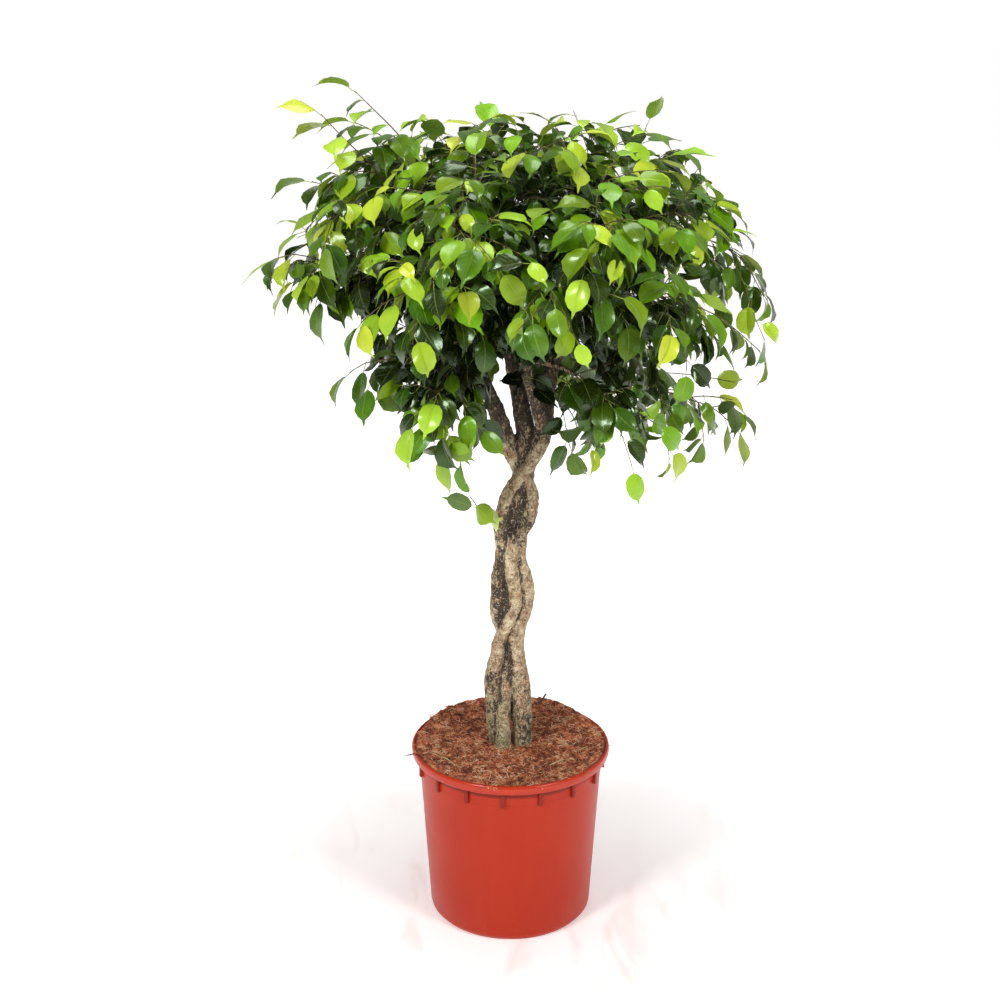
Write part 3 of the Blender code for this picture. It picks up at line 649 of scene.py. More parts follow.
head = {
    "heart": Vector((0.008, 0.0, 0.985)),
    "reachRight": 0.345, "reachLeft": 0.330, "reachBack": 0.325, "reachFront": 0.315, "reachUp": 0.292,
    "flattening": 0.86,
    "skirtRight": 0.170, "skirtLeft": 0.050,
    "skirtReachRight": 0.97, "skirtReachLeft": 0.58, "skirtLean": 0.6,
    "turnSpread": 7.0, "riseSpread": 4.0, "reachSpread": (0.94, 1.04),
    "heartDrop": 0.035,
    "innerShare": 0.52, "innerSpread": 0.05, "innerRise": 0.045,
    "sprayBow": 0.035, "bowStart": 0.40, "bowEnd": 0.72,
    "forkSize": 3, "forkShare": 0.50, "forkRise": 0.006,
    "leaderBow": 0.004, "branchBow": 0.006, "branchPoints": 3,
    # rows of sprays: elevation in degrees, how many, the first one's turn in degrees
    "rows": ((74, 4, 20), (53, 6, 5), (33, 8, 24), (11, 8, 10), (-12, 6, -60)),
    # sprays that stand out of the head: base, end, and how far the middle bows up
    "lone": (
        ((-0.150, -0.030, 1.130), (-0.268, -0.060, 1.292), 0.000),
        ((-0.120, 0.020, 1.160), (-0.226, 0.010, 1.318), 0.010),
        ((0.150, 0.030, 1.130), (0.196, 0.010, 1.272), 0.005),
        ((-0.200, -0.030, 1.060), (-0.345, -0.050, 1.085), 0.030),
        ((-0.165, 0.055, 1.100), (-0.300, 0.075, 1.180), 0.020),
        ((-0.130, -0.060, 0.955), (-0.236, -0.085, 0.925), 0.020),
        ((-0.080, -0.085, 0.945), (-0.100, -0.130, 0.815), 0.020),
        (wood["stub"][-1][:3], (-0.062, -0.036, 0.718), 0.004),
    ),
    "seed": 7, "tries": 16, "twigDraws": 50, "sideDraws": 100, "leafDraws": 500,
    "shootHeight": 1.27, "shootDroop": 0.35,
}
heart = head["heart"]

twigs = {
    "radius": 0.0024, "endRadius": 0.0017, "sunkRadius": 0.0009,
    "points": 4, "lead": 0.004, "gap": 0.0008, "shift": 0.004,
    "sides": (0.45,), "sideSpread": 0.05, "sideLength": (0.060, 0.085),
    "sideAlong": 0.75, "sideAcross": (0.6, 1.0), "sideRise": (0.0, 0.35), "sideDrop": (0.25, 0.6),
    "sideBow": 0.004, "sidePoints": 2,
    "mainLeaves": (0.30, 0.58, 0.80, 1.0), "sideLeaves": (0.62, 1.0),
    # what is added here: more side twigs, and more leaves on every twig
    "moreSides": 14, "firstSide": 0.06, "lastSide": 0.97, "lowSides": 10, "lowEnd": 0.88,
    "moreMainLeaves": (0.12, 0.20, 0.39, 0.48, 0.68, 0.90),
    "moreSideLeaves": (0.25, 0.42, 0.80),
    "newSideLeaves": (0.20, 0.36, 0.52, 0.68, 0.84, 1.0),
    "moreLength": (0.045, 0.105), "moreAlong": (0.3, 0.9), "moreAcross": (0.6, 1.0),
    "moreDrop": (0.05, 0.65), "moreRise": 0.30, "moreTurn": 0.6, "morePoints": 3,
    # the twigs at the right edge are longer and spread the head there
    "rightLonger": 0.7, "rightEdge": (0.20, 0.34), "rightHeights": (0.93, 1.09),
    "goldenTurn": 2.4, "steepest": 0.2,
    "roundRadius": 0.0015, "roundEnd": 0.0006, "fineRadius": 0.0009, "roundStep": 0.014,
}

leaf = {
    "stalk": 0.014, "blade": 0.058, "halfWidth": 0.0176,
    "thickness": 0.0015, "stalkHalf": 0.0005, "stalkThickness": 0.0008,
    "rootDepth": 0.0035, "kink": 0.30, "arches": (0.35, 0.65, 0.95),
    "outline": ((0.0, 0.10), (0.17, 0.74), (0.46, 1.0), (0.77, 0.34), (1.0, 0.0)),
    "scale": (0.84, 1.14), "gap": 0.0006, "droop": (0.15, 0.75),
    "stalkAlong": 0.55, "stalkAcross": 0.75, "stalkOut": 0.25,
    "faceUp": 0.8, "faceHigh": 0.0, "faceOut": 0.75, "faceSpread": 0.35,
}


def reachAcross(turn):
    # how far the head goes out in that direction
    across = head["reachRight"] if math.cos(turn) > 0.0 else head["reachLeft"]
    deep = head["reachBack"] if math.sin(turn) > 0.0 else head["reachFront"]
    return Vector((across * math.cos(turn), deep * math.sin(turn), 0.0))


def twigEnd(turn, elevation):
    # a spray ends on the dome, or on the skirt under it
    if elevation < 0.0:
        rightness = 0.5 + 0.5 * math.cos(turn + head["skirtLean"])
        reach = reachAcross(turn) * blend(head["skirtReachLeft"], head["skirtReachRight"], rightness)
        return heart + reach - up * blend(head["skirtLeft"], head["skirtRight"], rightness)
    wide = math.cos(elevation) ** head["flattening"]
    high = math.sin(elevation) ** head["flattening"]
    return heart + reachAcross(turn) * wide + up * head["reachUp"] * high


def bow(start, first, end, lift, count):
    # points of a curve that leaves the start along first and comes down on the end
    length = (end - start).length
    a = start + first * length * head["bowStart"]
    b = blend(start, end, head["bowEnd"]) + up * lift
    points = []
    for i in range(count + 1):
        t = i / count
        s = 1.0 - t
        points.append(start * s ** 3 + a * 3 * s * s * t + b * 3 * s * t * t + end * t ** 3)
    return points


def sprayPlans():
    # base, end and lift of every spray
    draw = random.Random(head["seed"])
    lowHeart = heart - up * head["heartDrop"]
    plans = []
    for elevation, count, first in head["rows"]:
        for number in range(count):
            turn = first + 360.0 * number / count + jitter(draw, head["turnSpread"])
            rise = math.radians(elevation + jitter(draw, head["riseSpread"]))
            end = twigEnd(math.radians(turn), rise)
            end = heart + (end - heart) * draw.uniform(*head["reachSpread"])
            inner = head["innerShare"] + jitter(draw, head["innerSpread"])
            flatness = max(0.0, math.cos(rise))
            base = blend(lowHeart, end, inner) + up * head["innerRise"] * flatness
            plans.append((base, end, head["sprayBow"] * flatness))
    return plans + [(Vector(base), Vector(end), lift) for base, end, lift in head["lone"]]


def taper(points, first, last, sunk=None):
    count = len(points) - 1
    rows = [(*point, blend(first, last, i / count)) for i, point in enumerate(points)]
    if sunk:
        rows[0] = (*points[0], sunk)
    return rows


def scaffold(plans):
    # branches from the limbs to the spray bases, and the way each base points
    tops = []
    for name in limbNames:
        before, top = (Vector(row[:3]) for row in wood[name][-2:])
        tops.append((top, (top - before).normalized()))
    crews = [[] for _ in tops]
    for number, (base, _, _) in enumerate(plans[:-1]):
        nearest = min(range(len(tops)), key=lambda k: (base - tops[k][0]).length)
        crews[nearest].append(number)
    branches = []
    pointing = {}
    for (top, heading), crew in zip(tops, crews):
        crew.sort(key=lambda n: math.atan2(plans[n][0].y - top.y, plans[n][0].x - top.x))
        for first in range(0, len(crew), head["forkSize"]):
            group = crew[first:first + head["forkSize"]]
            middle = sum((plans[n][0] for n in group), Vector()) / len(group)
            fork = blend(top, middle, head["forkShare"]) + up * head["forkRise"]
            start = top - heading * wood["limbRadius"]
            leader = bow(start, heading, fork, head["leaderBow"], head["branchPoints"])
            way = (leader[-1] - leader[-2]).normalized()
            for n in group:
                side = bow(fork, way, plans[n][0], head["branchBow"], head["branchPoints"])
                pointing[n] = (side[-1] - side[-2]).normalized()
                if n == group[0]:
                    rows = taper(leader + side[1:], wood["limbRadius"], wood["tipRadius"])
                else:
                    rows = taper(side, wood["branchRadius"], wood["tipRadius"], wood["sunkRadius"])
                branches.append(rows)
    root, tip = (Vector(row[:3]) for row in wood["stub"])
    pointing[len(plans) - 1] = (tip - root).normalized()
    return branches, pointing


def sleeveFaces(rings):
    # faces between three sided rings of corners
    steps = [(3 * ring + k, 3 * ring + (k + 1) % 3) for ring in range(rings - 1) for k in range(3)]
    return [(a, b, b + 3, a + 3) for a, b in steps]


def leafShape(arch, spare):
    # corners and faces of the plain leaf that room is tested with
    stations = [(0.0, 0.0, leaf["stalkHalf"], leaf["stalkThickness"])]
    for share, width in leaf["outline"]:
        half = max(leaf["halfWidth"] * width, leaf["stalkHalf"])
        thick = blend(leaf["stalkThickness"], leaf["thickness"], width)
        stations.append((leaf["stalk"] + leaf["blade"] * share, leaf["kink"] + arch * share, half, thick))
    corners = []
    place = Vector((0.0, 0.0, 0.0))
    lastRun, lastAngle = 0.0, 0.0
    for run, angle, half, thick in stations:
        place = place + slope((angle + lastAngle) / 2) * (run - lastRun)
        rise = Vector((math.sin(angle), 0.0, math.cos(angle)))
        side = Vector((0.0, half + spare, 0.0))
        low = place - rise * (spare + thick / 2)
        corners += [low + side, place + rise * (thick / 2 + spare), low - side]
        lastRun, lastAngle = run, angle
    rings = len(stations) - 1
    last = 3 * (rings - 1)
    tip = [(last + k, last + (k + 1) % 3, 3 * rings) for k in range(3)]
    return corners[:-3] + [place], [(2, 1, 0), *sleeveFaces(rings), *tip]


def leafPlace(at, along, side, draw, lively, habit=leaf):
    # the stalk leaves the twig sideways, and the face turns out and up
    out = (at - heart).normalized()
    flatOut = Vector((out.x, out.y, 0.0))
    across = along.cross(up)
    if across.length < twigs["steepest"]:
        across = out.cross(up)
    across = across.normalized() * side
    droop = draw.uniform(*habit["droop"]) * lively
    stalk = along * leaf["stalkAlong"] + across * leaf["stalkAcross"] + flatOut * habit["stalkOut"]
    stalk = stalk - up * droop
    if side == 0:
        stalk = along.copy()
    stalk.normalize()
    face = up * (habit["faceUp"] + habit["faceHigh"] * highShare(at.z)) + out * habit["faceOut"]
    face += Vector([jitter(draw, habit["faceSpread"]) for _ in range(3)])
    face = (face - stalk * face.dot(stalk)).normalized()
    size = draw.uniform(*habit["scale"])
    turn = Matrix((stalk, face.cross(stalk), face)).transposed().to_4x4()
    return Matrix.Translation(at) @ turn @ Matrix.Scale(size, 4)


def prism(rows, spare):
    # a three sided sleeve round a twig, used to test that others keep clear of it
    corners = []
    for i, row in enumerate(rows):
        ahead = Vector(rows[min(i + 1, len(rows) - 1)][:3])
        behind = Vector(rows[max(i - 1, 0)][:3])
        along = (ahead - behind).normalized()
        side = along.orthogonal().normalized()
        other = along.cross(side)
        reach = 2 * (row[3] + spare)
        for k in range(3):
            angle = 2 * math.pi * k / 3
            corners.append(Vector(row[:3]) + (side * math.cos(angle) + other * math.sin(angle)) * reach)
    return corners, sleeveFaces(len(rows))


# Room that is taken so far, kept in cells so that only neighbours are tested

taken = []
cells = {}
cellSize = 0.06


def boxOf(corners):
    return [[end(c[i] for c in corners) for i in range(3)] for end in (min, max)]


def cellsIn(low, high):
    spans = [range(math.floor(low[i] / cellSize), math.floor(high[i] / cellSize) + 1) for i in range(3)]
    return [(x, y, z) for x in spans[0] for y in spans[1] for z in spans[2]]


def isClear(corners, faces, owner, ownAllowed=False):
    low, high = boxOf(corners)
    near = set()
    for cell in cellsIn(low, high):
        near.update(cells.get(cell, ()))
    tree = BVHTree.FromPolygons(corners, faces) if near else None
    for index in near:
        other, otherLow, otherHigh, otherOwner = taken[index]
        if otherOwner == owner and ownAllowed:
            continue
        if any(low[i] > otherHigh[i] or high[i] < otherLow[i] for i in range(3)):
            continue
        if tree.overlap(other):
            return False
    return True


def take(corners, faces, owner):
    low, high = boxOf(corners)
    for cell in cellsIn(low, high):
        cells.setdefault(cell, []).append(len(taken))
    taken.append((BVHTree.FromPolygons(corners, faces), low, high, owner))


def addTwig(spray, rows, owner, spare=0.0, fits=None):
    # the twig joins the spray when it has room and fits
    shape = prism(rows[1:], spare)
    if (fits and not fits(shape[0])) or not isClear(*shape, owner, ownAllowed=True):
        return False
    spray.append(rows)
    take(*shape, owner)
    return True


def placeOn(rows, share):
    # the place and way at that share of a twig
    spot = share * (len(rows) - 1)
    index = min(int(spot), len(rows) - 2)
    a, b = Vector(rows[index][:3]), Vector(rows[index + 1][:3])
    return a + (b - a) * (spot - index), (b - a).normalized()


def sideTwig(main, share, sideNumber, draw):
    at, along = placeOn(main, share + jitter(draw, twigs["sideSpread"]))
    across = along.cross(up)
    if across.length < twigs["steepest"]:
        across = along.orthogonal()
    across = across.normalized() * (1 if sideNumber else -1)
    heading = along * twigs["sideAlong"] + across * draw.uniform(*twigs["sideAcross"])
    heading = (heading + up * draw.uniform(*twigs["sideRise"])).normalized()
    length = draw.uniform(*twigs["sideLength"])
    end = at + heading * length - up * length * draw.uniform(*twigs["sideDrop"])
    path = bow(at, heading, end, twigs["sideBow"], twigs["sidePoints"])
    return taper(path, twigs["radius"], twigs["endRadius"], twigs["sunkRadius"])


def tryLeaf(leaves, rows, share, number, draw, lively, owner, fits=None):
    # the first of a few draws whose leaf is clear of all the others, on the side that is its turn
    habit = filling if fits else leaf
    side = 1 if number % 2 else -1
    for _ in range(head["tries"]):
        at, along = placeOn(rows, share)
        arch = habit["arches"][draw.randrange(len(habit["arches"]))]
        if share == 1.0:
            at, side = at - along * leaf["rootDepth"], 0
        matrix = leafPlace(at, along, side, draw, lively, habit)
        corners, faces = leafShape(arch, leaf["gap"])
        corners = [matrix @ c for c in corners]
        beyondRoot = [face for face in faces if min(face) >= 3]
        if fits and not fits(corners):
            continue
        if isClear(corners, faces, owner, ownAllowed=True) and isClear(corners, beyondRoot, owner):
            take(corners, faces, owner)
            leaves.append((arch, matrix, share))
            return


def livelinessOf(plan):
    # the shoots on top hang less
    return head["shootDroop"] if plan[1].z > head["shootHeight"] else 1.0


def growSprays(plans, pointing, solidWood):
    for rows in solidWood:
        take(*prism(rows, 0.0), owner=-1)
    sprays = [[] for _ in plans]
    for number in reversed(range(len(plans))):
        draw = random.Random(head["seed"] + head["twigDraws"] + number)
        base, end, lift = plans[number]
        way = pointing[number]
        for turn in range(head["tries"]):
            shift = Vector([jitter(draw, twigs["shift"]) * turn for _ in range(3)])
            path = bow(base + way * twigs["lead"], way, end + shift, lift + shift.z, twigs["points"])
            rows = taper([base + way * wood["clearance"], *path], twigs["radius"], twigs["endRadius"])
            shape = prism(rows[1:], twigs["gap"])
            if isClear(*shape, owner=number):
                break
        sprays[number].append(rows)
        take(*shape, owner=number)
    for number, spray in enumerate(sprays[:-1]):
        draw = random.Random(head["seed"] + head["sideDraws"] + number)
        for sideNumber, share in enumerate(twigs["sides"]):
            for _ in range(head["tries"]):
                if addTwig(spray, sideTwig(spray[0], share, sideNumber, draw), number, twigs["gap"]):
                    break
    grown = []
    for number, spray in enumerate(sprays):
        draw = random.Random(head["seed"] + head["leafDraws"] + number)
        leaves = []
        for rows in spray:
            shares = twigs["mainLeaves"] if rows is spray[0] else twigs["sideLeaves"]
            for leafNumber, share in enumerate(shares):
                tryLeaf(leaves, rows, share, leafNumber, draw, livelinessOf(plans[number]), number)
        grown.append((spray, leaves))
    return grown


# What the finished head has beyond the frame: it stays in the frame's box and leaves the trunk in view

filling = {
    "draws": 3000,
    "margin": 0.004,
    "scale": (0.58, 1.04), "droop": (0.0, 1.05), "arches": (0.65, 0.95, 1.30),
    "stalkOut": 0.45, "faceUp": 0.9, "faceHigh": 0.9, "faceOut": 0.45, "faceSpread": 0.78,
    # leaves hang less the higher they grow, between these two heights
    "hang": (1.25, 0.40), "hangHeights": (0.86, 1.16),
    # the dome that the added leaves stay in: middle, half widths and height
    "domeMiddle": (0.008, 0.0, 0.985), "domeWide": 0.392, "domeDeep": 0.340,
    "domeTall": 0.320, "domeShape": 2.2,
    "loneSides": 2,
    # no leaf hangs lower than this, higher in front than behind, and the left side is cut in
    "lowest": 0.750, "lowSlope": 0.318, "cutLeft": -0.230, "cutHeight": 1.0, "cutSlope": 0.28,
    # the lower edge is ragged: how far it rises and falls, how often, and where it starts
    "ragged": 0.058, "raggedAcross": 43.0, "raggedDeep": 31.0, "raggedStart": 1.0,
    # the open space round the trunk and under the head: middle, radius and top height
    "openMiddle": 0.01, "openRadius": 0.115, "openHeight": 0.800,
    # the gap in front through which the limbs show
    "gapLeft": -0.034, "gapRight": 0.058, "gapTop": 0.905, "gapSlope": 0.25,
    # twigs that reach the right edge: which spray, where on it, end
    "farTwigs": (
        (18, 0.80, (0.370, -0.070, 1.030)), (18, 0.90, (0.380, 0.030, 1.015)),
        (18, 0.65, (0.360, -0.130, 0.985)), (28, 0.80, (0.330, -0.060, 0.905)),
    ),
    "farPoints": 4,
    # share of the low leaves that are left out
    "sparse": 0.26,
    # room that a twig leaves under it for its leaves
    "leafRoom": 0.036,
    # shoots that hang from the limbs in front: start, end
    "hanging": (
        ((0.057, -0.017, 0.885), (0.088, -0.060, 0.805)), ((0.060, -0.014, 0.905), (0.128, -0.045, 0.815)),
        ((0.030, -0.049, 0.895), (0.022, -0.085, 0.925)),
    ),
    "hangLowest": 0.715,
    # short leafy shoots on the branches inside the head, which own their room by this number
    "innerShares": (0.30, 0.45, 0.60, 0.75, 0.90), "innerLeaves": (0.30, 0.50, 0.70, 0.86, 1.0),
    "innerOwner": 1000,
}


def isInDome(spot):
    offset = spot - Vector(filling["domeMiddle"])
    wide, deep = offset.x / filling["domeWide"], offset.y / filling["domeDeep"]
    tall = max(0.0, offset.z / filling["domeTall"])
    return wide ** 2 + deep ** 2 + tall ** filling["domeShape"] < 1.0


def staysInHead(corners, inDome=True):
    # inside the head, and out of the places that stay open
    low, high = cadBox
    for c in corners:
        if any(c[i] < low[i] - filling["margin"] or c[i] > high[i] + filling["margin"] for i in range(3)):
            return False
        if inDome and not isInDome(c):
            return False
        fromTrunk = math.hypot(c.x - filling["openMiddle"], c.y)
        if c.z < filling["openHeight"] and fromTrunk < filling["openRadius"]:
            return False
        hem = math.sin(filling["raggedAcross"] * c.x + filling["raggedStart"])
        hem = hem * math.cos(filling["raggedDeep"] * c.y)
        if c.z < filling["lowest"] + filling["ragged"] * hem - filling["lowSlope"] * c.y:
            return False
        below = filling["cutHeight"] - c.z
        if below > 0.0 and c.x < filling["cutLeft"] + filling["cutSlope"] * below:
            return False
        inGap = filling["gapLeft"] < c.x < filling["gapRight"] and c.y < 0.0
        if inGap and c.z < filling["gapTop"] - filling["gapSlope"] * c.y:
            return False
    return True


def staysLeafy(corners, inDome=True):
    # with room for leaves under it too
    lower = [c - up * filling["leafRoom"] for c in corners]
    return staysInHead(corners, inDome) and staysInHead(lower, inDome)


def highShare(height):
    low, high = filling["hangHeights"]
    return clamp((height - low) / (high - low))


def fineTwig(at, way, end, count):
    return taper(bow(at, way, end, twigs["sideBow"], count), twigs["fineRadius"], twigs["roundEnd"])


def moreTwig(main, share, sideNumber, draw):
    at, along = placeOn(main, share)
    turn = twigs["goldenTurn"] * sideNumber + jitter(draw, twigs["moreTurn"])
    across = Matrix.Rotation(turn, 3, along) @ along.orthogonal().normalized()
    heading = along * draw.uniform(*twigs["moreAlong"]) + across * draw.uniform(*twigs["moreAcross"])
    heading.normalize()
    length = draw.uniform(*twigs["moreLength"])
    if twigs["rightHeights"][0] < at.z < twigs["rightHeights"][1]:
        near, far = twigs["rightEdge"]
        length *= 1.0 + twigs["rightLonger"] * clamp((at.x - near) / (far - near))
    drop = draw.uniform(*twigs["moreDrop"]) - twigs["moreRise"] * highShare(at.z)
    return fineTwig(at, heading, at + heading * length - up * length * drop, twigs["morePoints"])


def leafJobs(rows, shares):
    return [(rows, share, k) for k, share in enumerate(shares)]


def fillSpray(number, spray, leaves, plan, lone):
    draw = random.Random(head["seed"] + filling["draws"] + number)
    jobs = leafJobs(spray[0], twigs["moreMainLeaves"])
    for rows in spray[1:]:
        jobs += leafJobs(rows, twigs["moreSideLeaves"])
    sides = twigs["lowSides"] if plan[1].z < twigs["lowEnd"] else twigs["moreSides"]
    sides = filling["loneSides"] if lone else sides
    for sideNumber in range(sides):
        share = blend(twigs["firstSide"], twigs["lastSide"], sideNumber / sides)
        for _ in range(head["tries"]):
            rows = moreTwig(spray[0], share, sideNumber, draw)
            if addTwig(spray, rows, number, fits=lambda corners: staysLeafy(corners, not lone)):
                jobs += leafJobs(rows, twigs["newSideLeaves"])
                break
    for which, share, end in filling["farTwigs"]:
        if which == number:
            rows = fineTwig(*placeOn(spray[0], share), Vector(end), filling["farPoints"])
            if addTwig(spray, rows, number):
                jobs += leafJobs(rows, twigs["newSideLeaves"])
    for rows, share, k in jobs:
        high = highShare(placeOn(rows, share)[0].z)
        if draw.random() < filling["sparse"] * (1.0 - high):
            continue
        hang = livelinessOf(plan) * blend(*filling["hang"], high)
        tryLeaf(leaves, rows, share, k, draw, hang, number, lambda corners: staysInHead(corners, not lone))


def fillHead(plans, grown):
    for number, (spray, leaves) in enumerate(grown[:-1]):
        fillSpray(number, spray, leaves, plans[number], number >= len(plans) - len(head["lone"]))


def growInside(branches):
    # short shoots on the branches, as one more spray
    draw = random.Random(head["seed"] + 3 * filling["draws"])
    spray, leaves = [], []
    owner = filling["innerOwner"]
    for main in branches:
        for number, share in enumerate(filling["innerShares"]):
            for _ in range(head["tries"]):
                if addTwig(spray, moreTwig(main, share, number + len(spray), draw), owner, fits=staysLeafy):
                    break
    tests = [staysInHead] * len(spray)
    for start, end in filling["hanging"]:
        start, end = Vector(start), Vector(end)
        level = Vector((end.x - start.x, end.y - start.y, 0.0)).normalized()
        spray.append(fineTwig(start, level, end, filling["farPoints"]))
        take(*prism(spray[-1][1:], 0.0), owner)
        tests.append(lambda corners: min(c.z for c in corners) > filling["hangLowest"])
    for rows, test in zip(spray, tests):
        for k, share in enumerate(filling["innerLeaves"]):
            tryLeaf(leaves, rows, share, k, draw, 1.0, owner, test)
    return spray, leaves


# Leaf: a pointed blade with a long drip tip, folded at the midrib, arched and waved

blade = {
    # share of the length, share of the half width
    "outline": (
        (0.0, 0.10), (0.06, 0.52), (0.18, 0.86), (0.36, 1.0),
        (0.55, 0.92), (0.71, 0.55), (0.80, 0.16), (1.0, 0.02),
    ),
    "slimness": 0.94, "columns": 4, "thickness": 0.0008, "weld": 1.2, "arcSteps": 12,
    "waves": 7.5, "waveShift": 1.3, "edgeFold": 0.75, "sharpAngle": 55,
    "stalkRadius": 0.0006, "stalkSunk": 0.003, "stalkDrop": 0.0002,
    # fold up at the midrib, twist to the tip, wave of the margin, bend to a side: a master for each
    "moods": (
        (0.14, 0.10, 0.0014, 0.10), (0.36, 0.42, 0.0024, -0.20),
        (-0.20, -0.36, 0.0018, 0.16), (0.62, -0.25, 0.0026, -0.06),
    ),
}

leafLook = {
    "roughness": (0.1, 0.9, 0.20, 0.34), "underRoughness": 0.22,
    "specular": 0.42, "tint": (0.50, 0.86, 0.38, 1.0), "coat": 0.34, "coatRoughness": 0.13,
    # from old to young
    "ages": (
        (0.0, 22, 28, 4), (0.28, 34, 46, 4), (0.52, 66, 98, 2), (0.76, 122, 154, 10), (1.0, 170, 184, 44),
    ),
    "patches": (55.0, 3.0), "patchAge": 0.22,
    # each leaf has its own shade, darker inside the head as painted shade, and leans to yellow or to blue
    "shades": (-0.5, 1.0, 0.42, 1.14), "leanSpread": 7.3, "lean": (0.70, 1.06),
    "rib": (0.035, 0.012), "veins": (0.10, 0.02), "veinCount": 11.0, "veinSlant": 4.5,
    "vein": (176, 196, 96), "ribPale": 0.175, "veinPale": 0.042,
    "under": (122, 148, 84), "underPale": 0.30,
    "veinRelief": 0.35, "reliefDepth": 0.0005, "reliefStrength": 0.7,
}

twigLook = {
    "roughness": 0.7, "pattern": (30.0, 5.0), "grain": 500.0, "grainDepth": 0.0003,
    "shades": ((0.25, 54, 36, 26), (0.5, 88, 62, 42), (0.75, 106, 104, 54)),
    "stalkRoughness": 0.5, "stalkPattern": (40.0,), "stalkShades": ((0.3, 104, 132, 44), (0.7, 158, 172, 74)),
}

# leaves are young and lime outside and on the ends of the shoots, old and dark within, and those within also
# get painted shade
growth = {
    "least": 0.10, "most": 0.58, "outFrom": 0.58, "outOver": 0.45, "spread": (-0.40, 0.42),
    "tip": 0.22, "inside": 0.6, "lightFrom": 0.30, "lightOver": 0.50, "darkest": 0.5,
}


def arcPlace(run, arch):
    # place and slope of the midrib at a run from the twig, as in the frame
    if run <= leaf["stalk"]:
        angle = leaf["kink"] * run / leaf["stalk"]
        return slope(angle / 2) * run, angle
    place = slope(leaf["kink"] / 2) * leaf["stalk"]
    share = (run - leaf["stalk"]) / leaf["blade"]
    steps = blade["arcSteps"]
    for i in range(steps):
        angle = leaf["kink"] + arch * share * (i + 0.5) / steps
        place = place + slope(angle) * (run - leaf["stalk"]) / steps
    return place, leaf["kink"] + arch * share


def modelLeaf(arch, mood, skin, stalkSkin):
    fold, twist, wave, bend = mood
    lastRow = len(blade["outline"]) - 1
    columns = blade["columns"]
    edge = columns // 2
    bpy.ops.mesh.primitive_grid_add(x_subdivisions=lastRow, y_subdivisions=columns, size=2.0)
    piece = bpy.context.object
    piece.name = "masterLeaf"
    spots = {}
    for corner in piece.data.vertices:
        row = round((corner.co.x + 1.0) / 2.0 * lastRow)
        spots[corner.index] = (row, round((corner.co.y + 1.0) / 2.0 * columns) - edge)
    editOn(piece)
    for row, (share, width) in enumerate(blade["outline"]):
        flat = -1.0 + 2.0 * row / lastRow
        pickCorners(piece, lambda index, co: spots[index][0] == row)
        half = leaf["halfWidth"] * width * blade["slimness"]
        bpy.ops.transform.resize(value=(1.0, half, 1.0), center_override=(flat, 0.0, 0.0))
        place, angle = arcPlace(leaf["stalk"] + leaf["blade"] * share, arch)
        sway = bend * leaf["blade"] * share ** 2
        bpy.ops.transform.translate(value=place + Vector((-flat, sway, 0.0)))
        rise = Vector((math.sin(angle), 0.0, math.cos(angle)))
        for column in (-2, -1, 1, 2):
            pickCorners(piece, lambda index, co: spots[index] == (row, column))
            out = abs(column) / edge
            ripple = math.sin(blade["waves"] * share + blade["waveShift"] * column) * wave * width
            folded = math.sin(fold) * (blade["edgeFold"] if out == 1.0 else 1.0)
            lean = half * out * (folded + math.copysign(1.0, column) * twist * share)
            bpy.ops.transform.translate(value=rise * (lean + ripple * out ** 2))
    editOff()
    margin = [corner.co.copy() for corner in piece.data.vertices
              if abs(spots[corner.index][1]) == edge or spots[corner.index][0] in (0, lastRow)]
    editOn(piece)
    bpy.ops.mesh.extrude_region_shrink_fatten(TRANSFORM_OT_shrink_fatten={"value": -blade["thickness"]})
    editOff()
    mark(piece, "underside", [float(face.select) for face in piece.data.polygons], "FACE")
    close = blade["thickness"] * blade["weld"]
    editOn(piece)
    pickCorners(piece, lambda index, co: any((co - spot).length < close for spot in margin))
    bpy.ops.mesh.remove_doubles(threshold=close)
    bpy.ops.mesh.select_all(action="SELECT")
    bpy.ops.mesh.normals_make_consistent(inside=False)
    editOff()
    paintWith(piece, skin)
    sunk = blade["stalkSunk"]
    end, _ = arcPlace(leaf["stalk"] + sunk, arch)
    length = end.length + sunk
    bpy.ops.mesh.primitive_cylinder_add(vertices=4, radius=blade["stalkRadius"], depth=length,
                                        location=(length / 2 - sunk, 0.0, 0.0),
                                        rotation=(0.0, math.pi / 2, 0.0))
    stalk = bpy.context.object
    settle(stalk)
    editOn(stalk)
    pickCorners(stalk, lambda index, co: co.x > 0.0)
    bpy.ops.transform.translate(value=end - Vector((length - sunk, 0.0, blade["stalkDrop"])))
    editOff()
    paintWith(stalk, stalkSkin)
    joinAll([piece, stalk])
    shadeSmooth(piece, blade["sharpAngle"])
    return piece


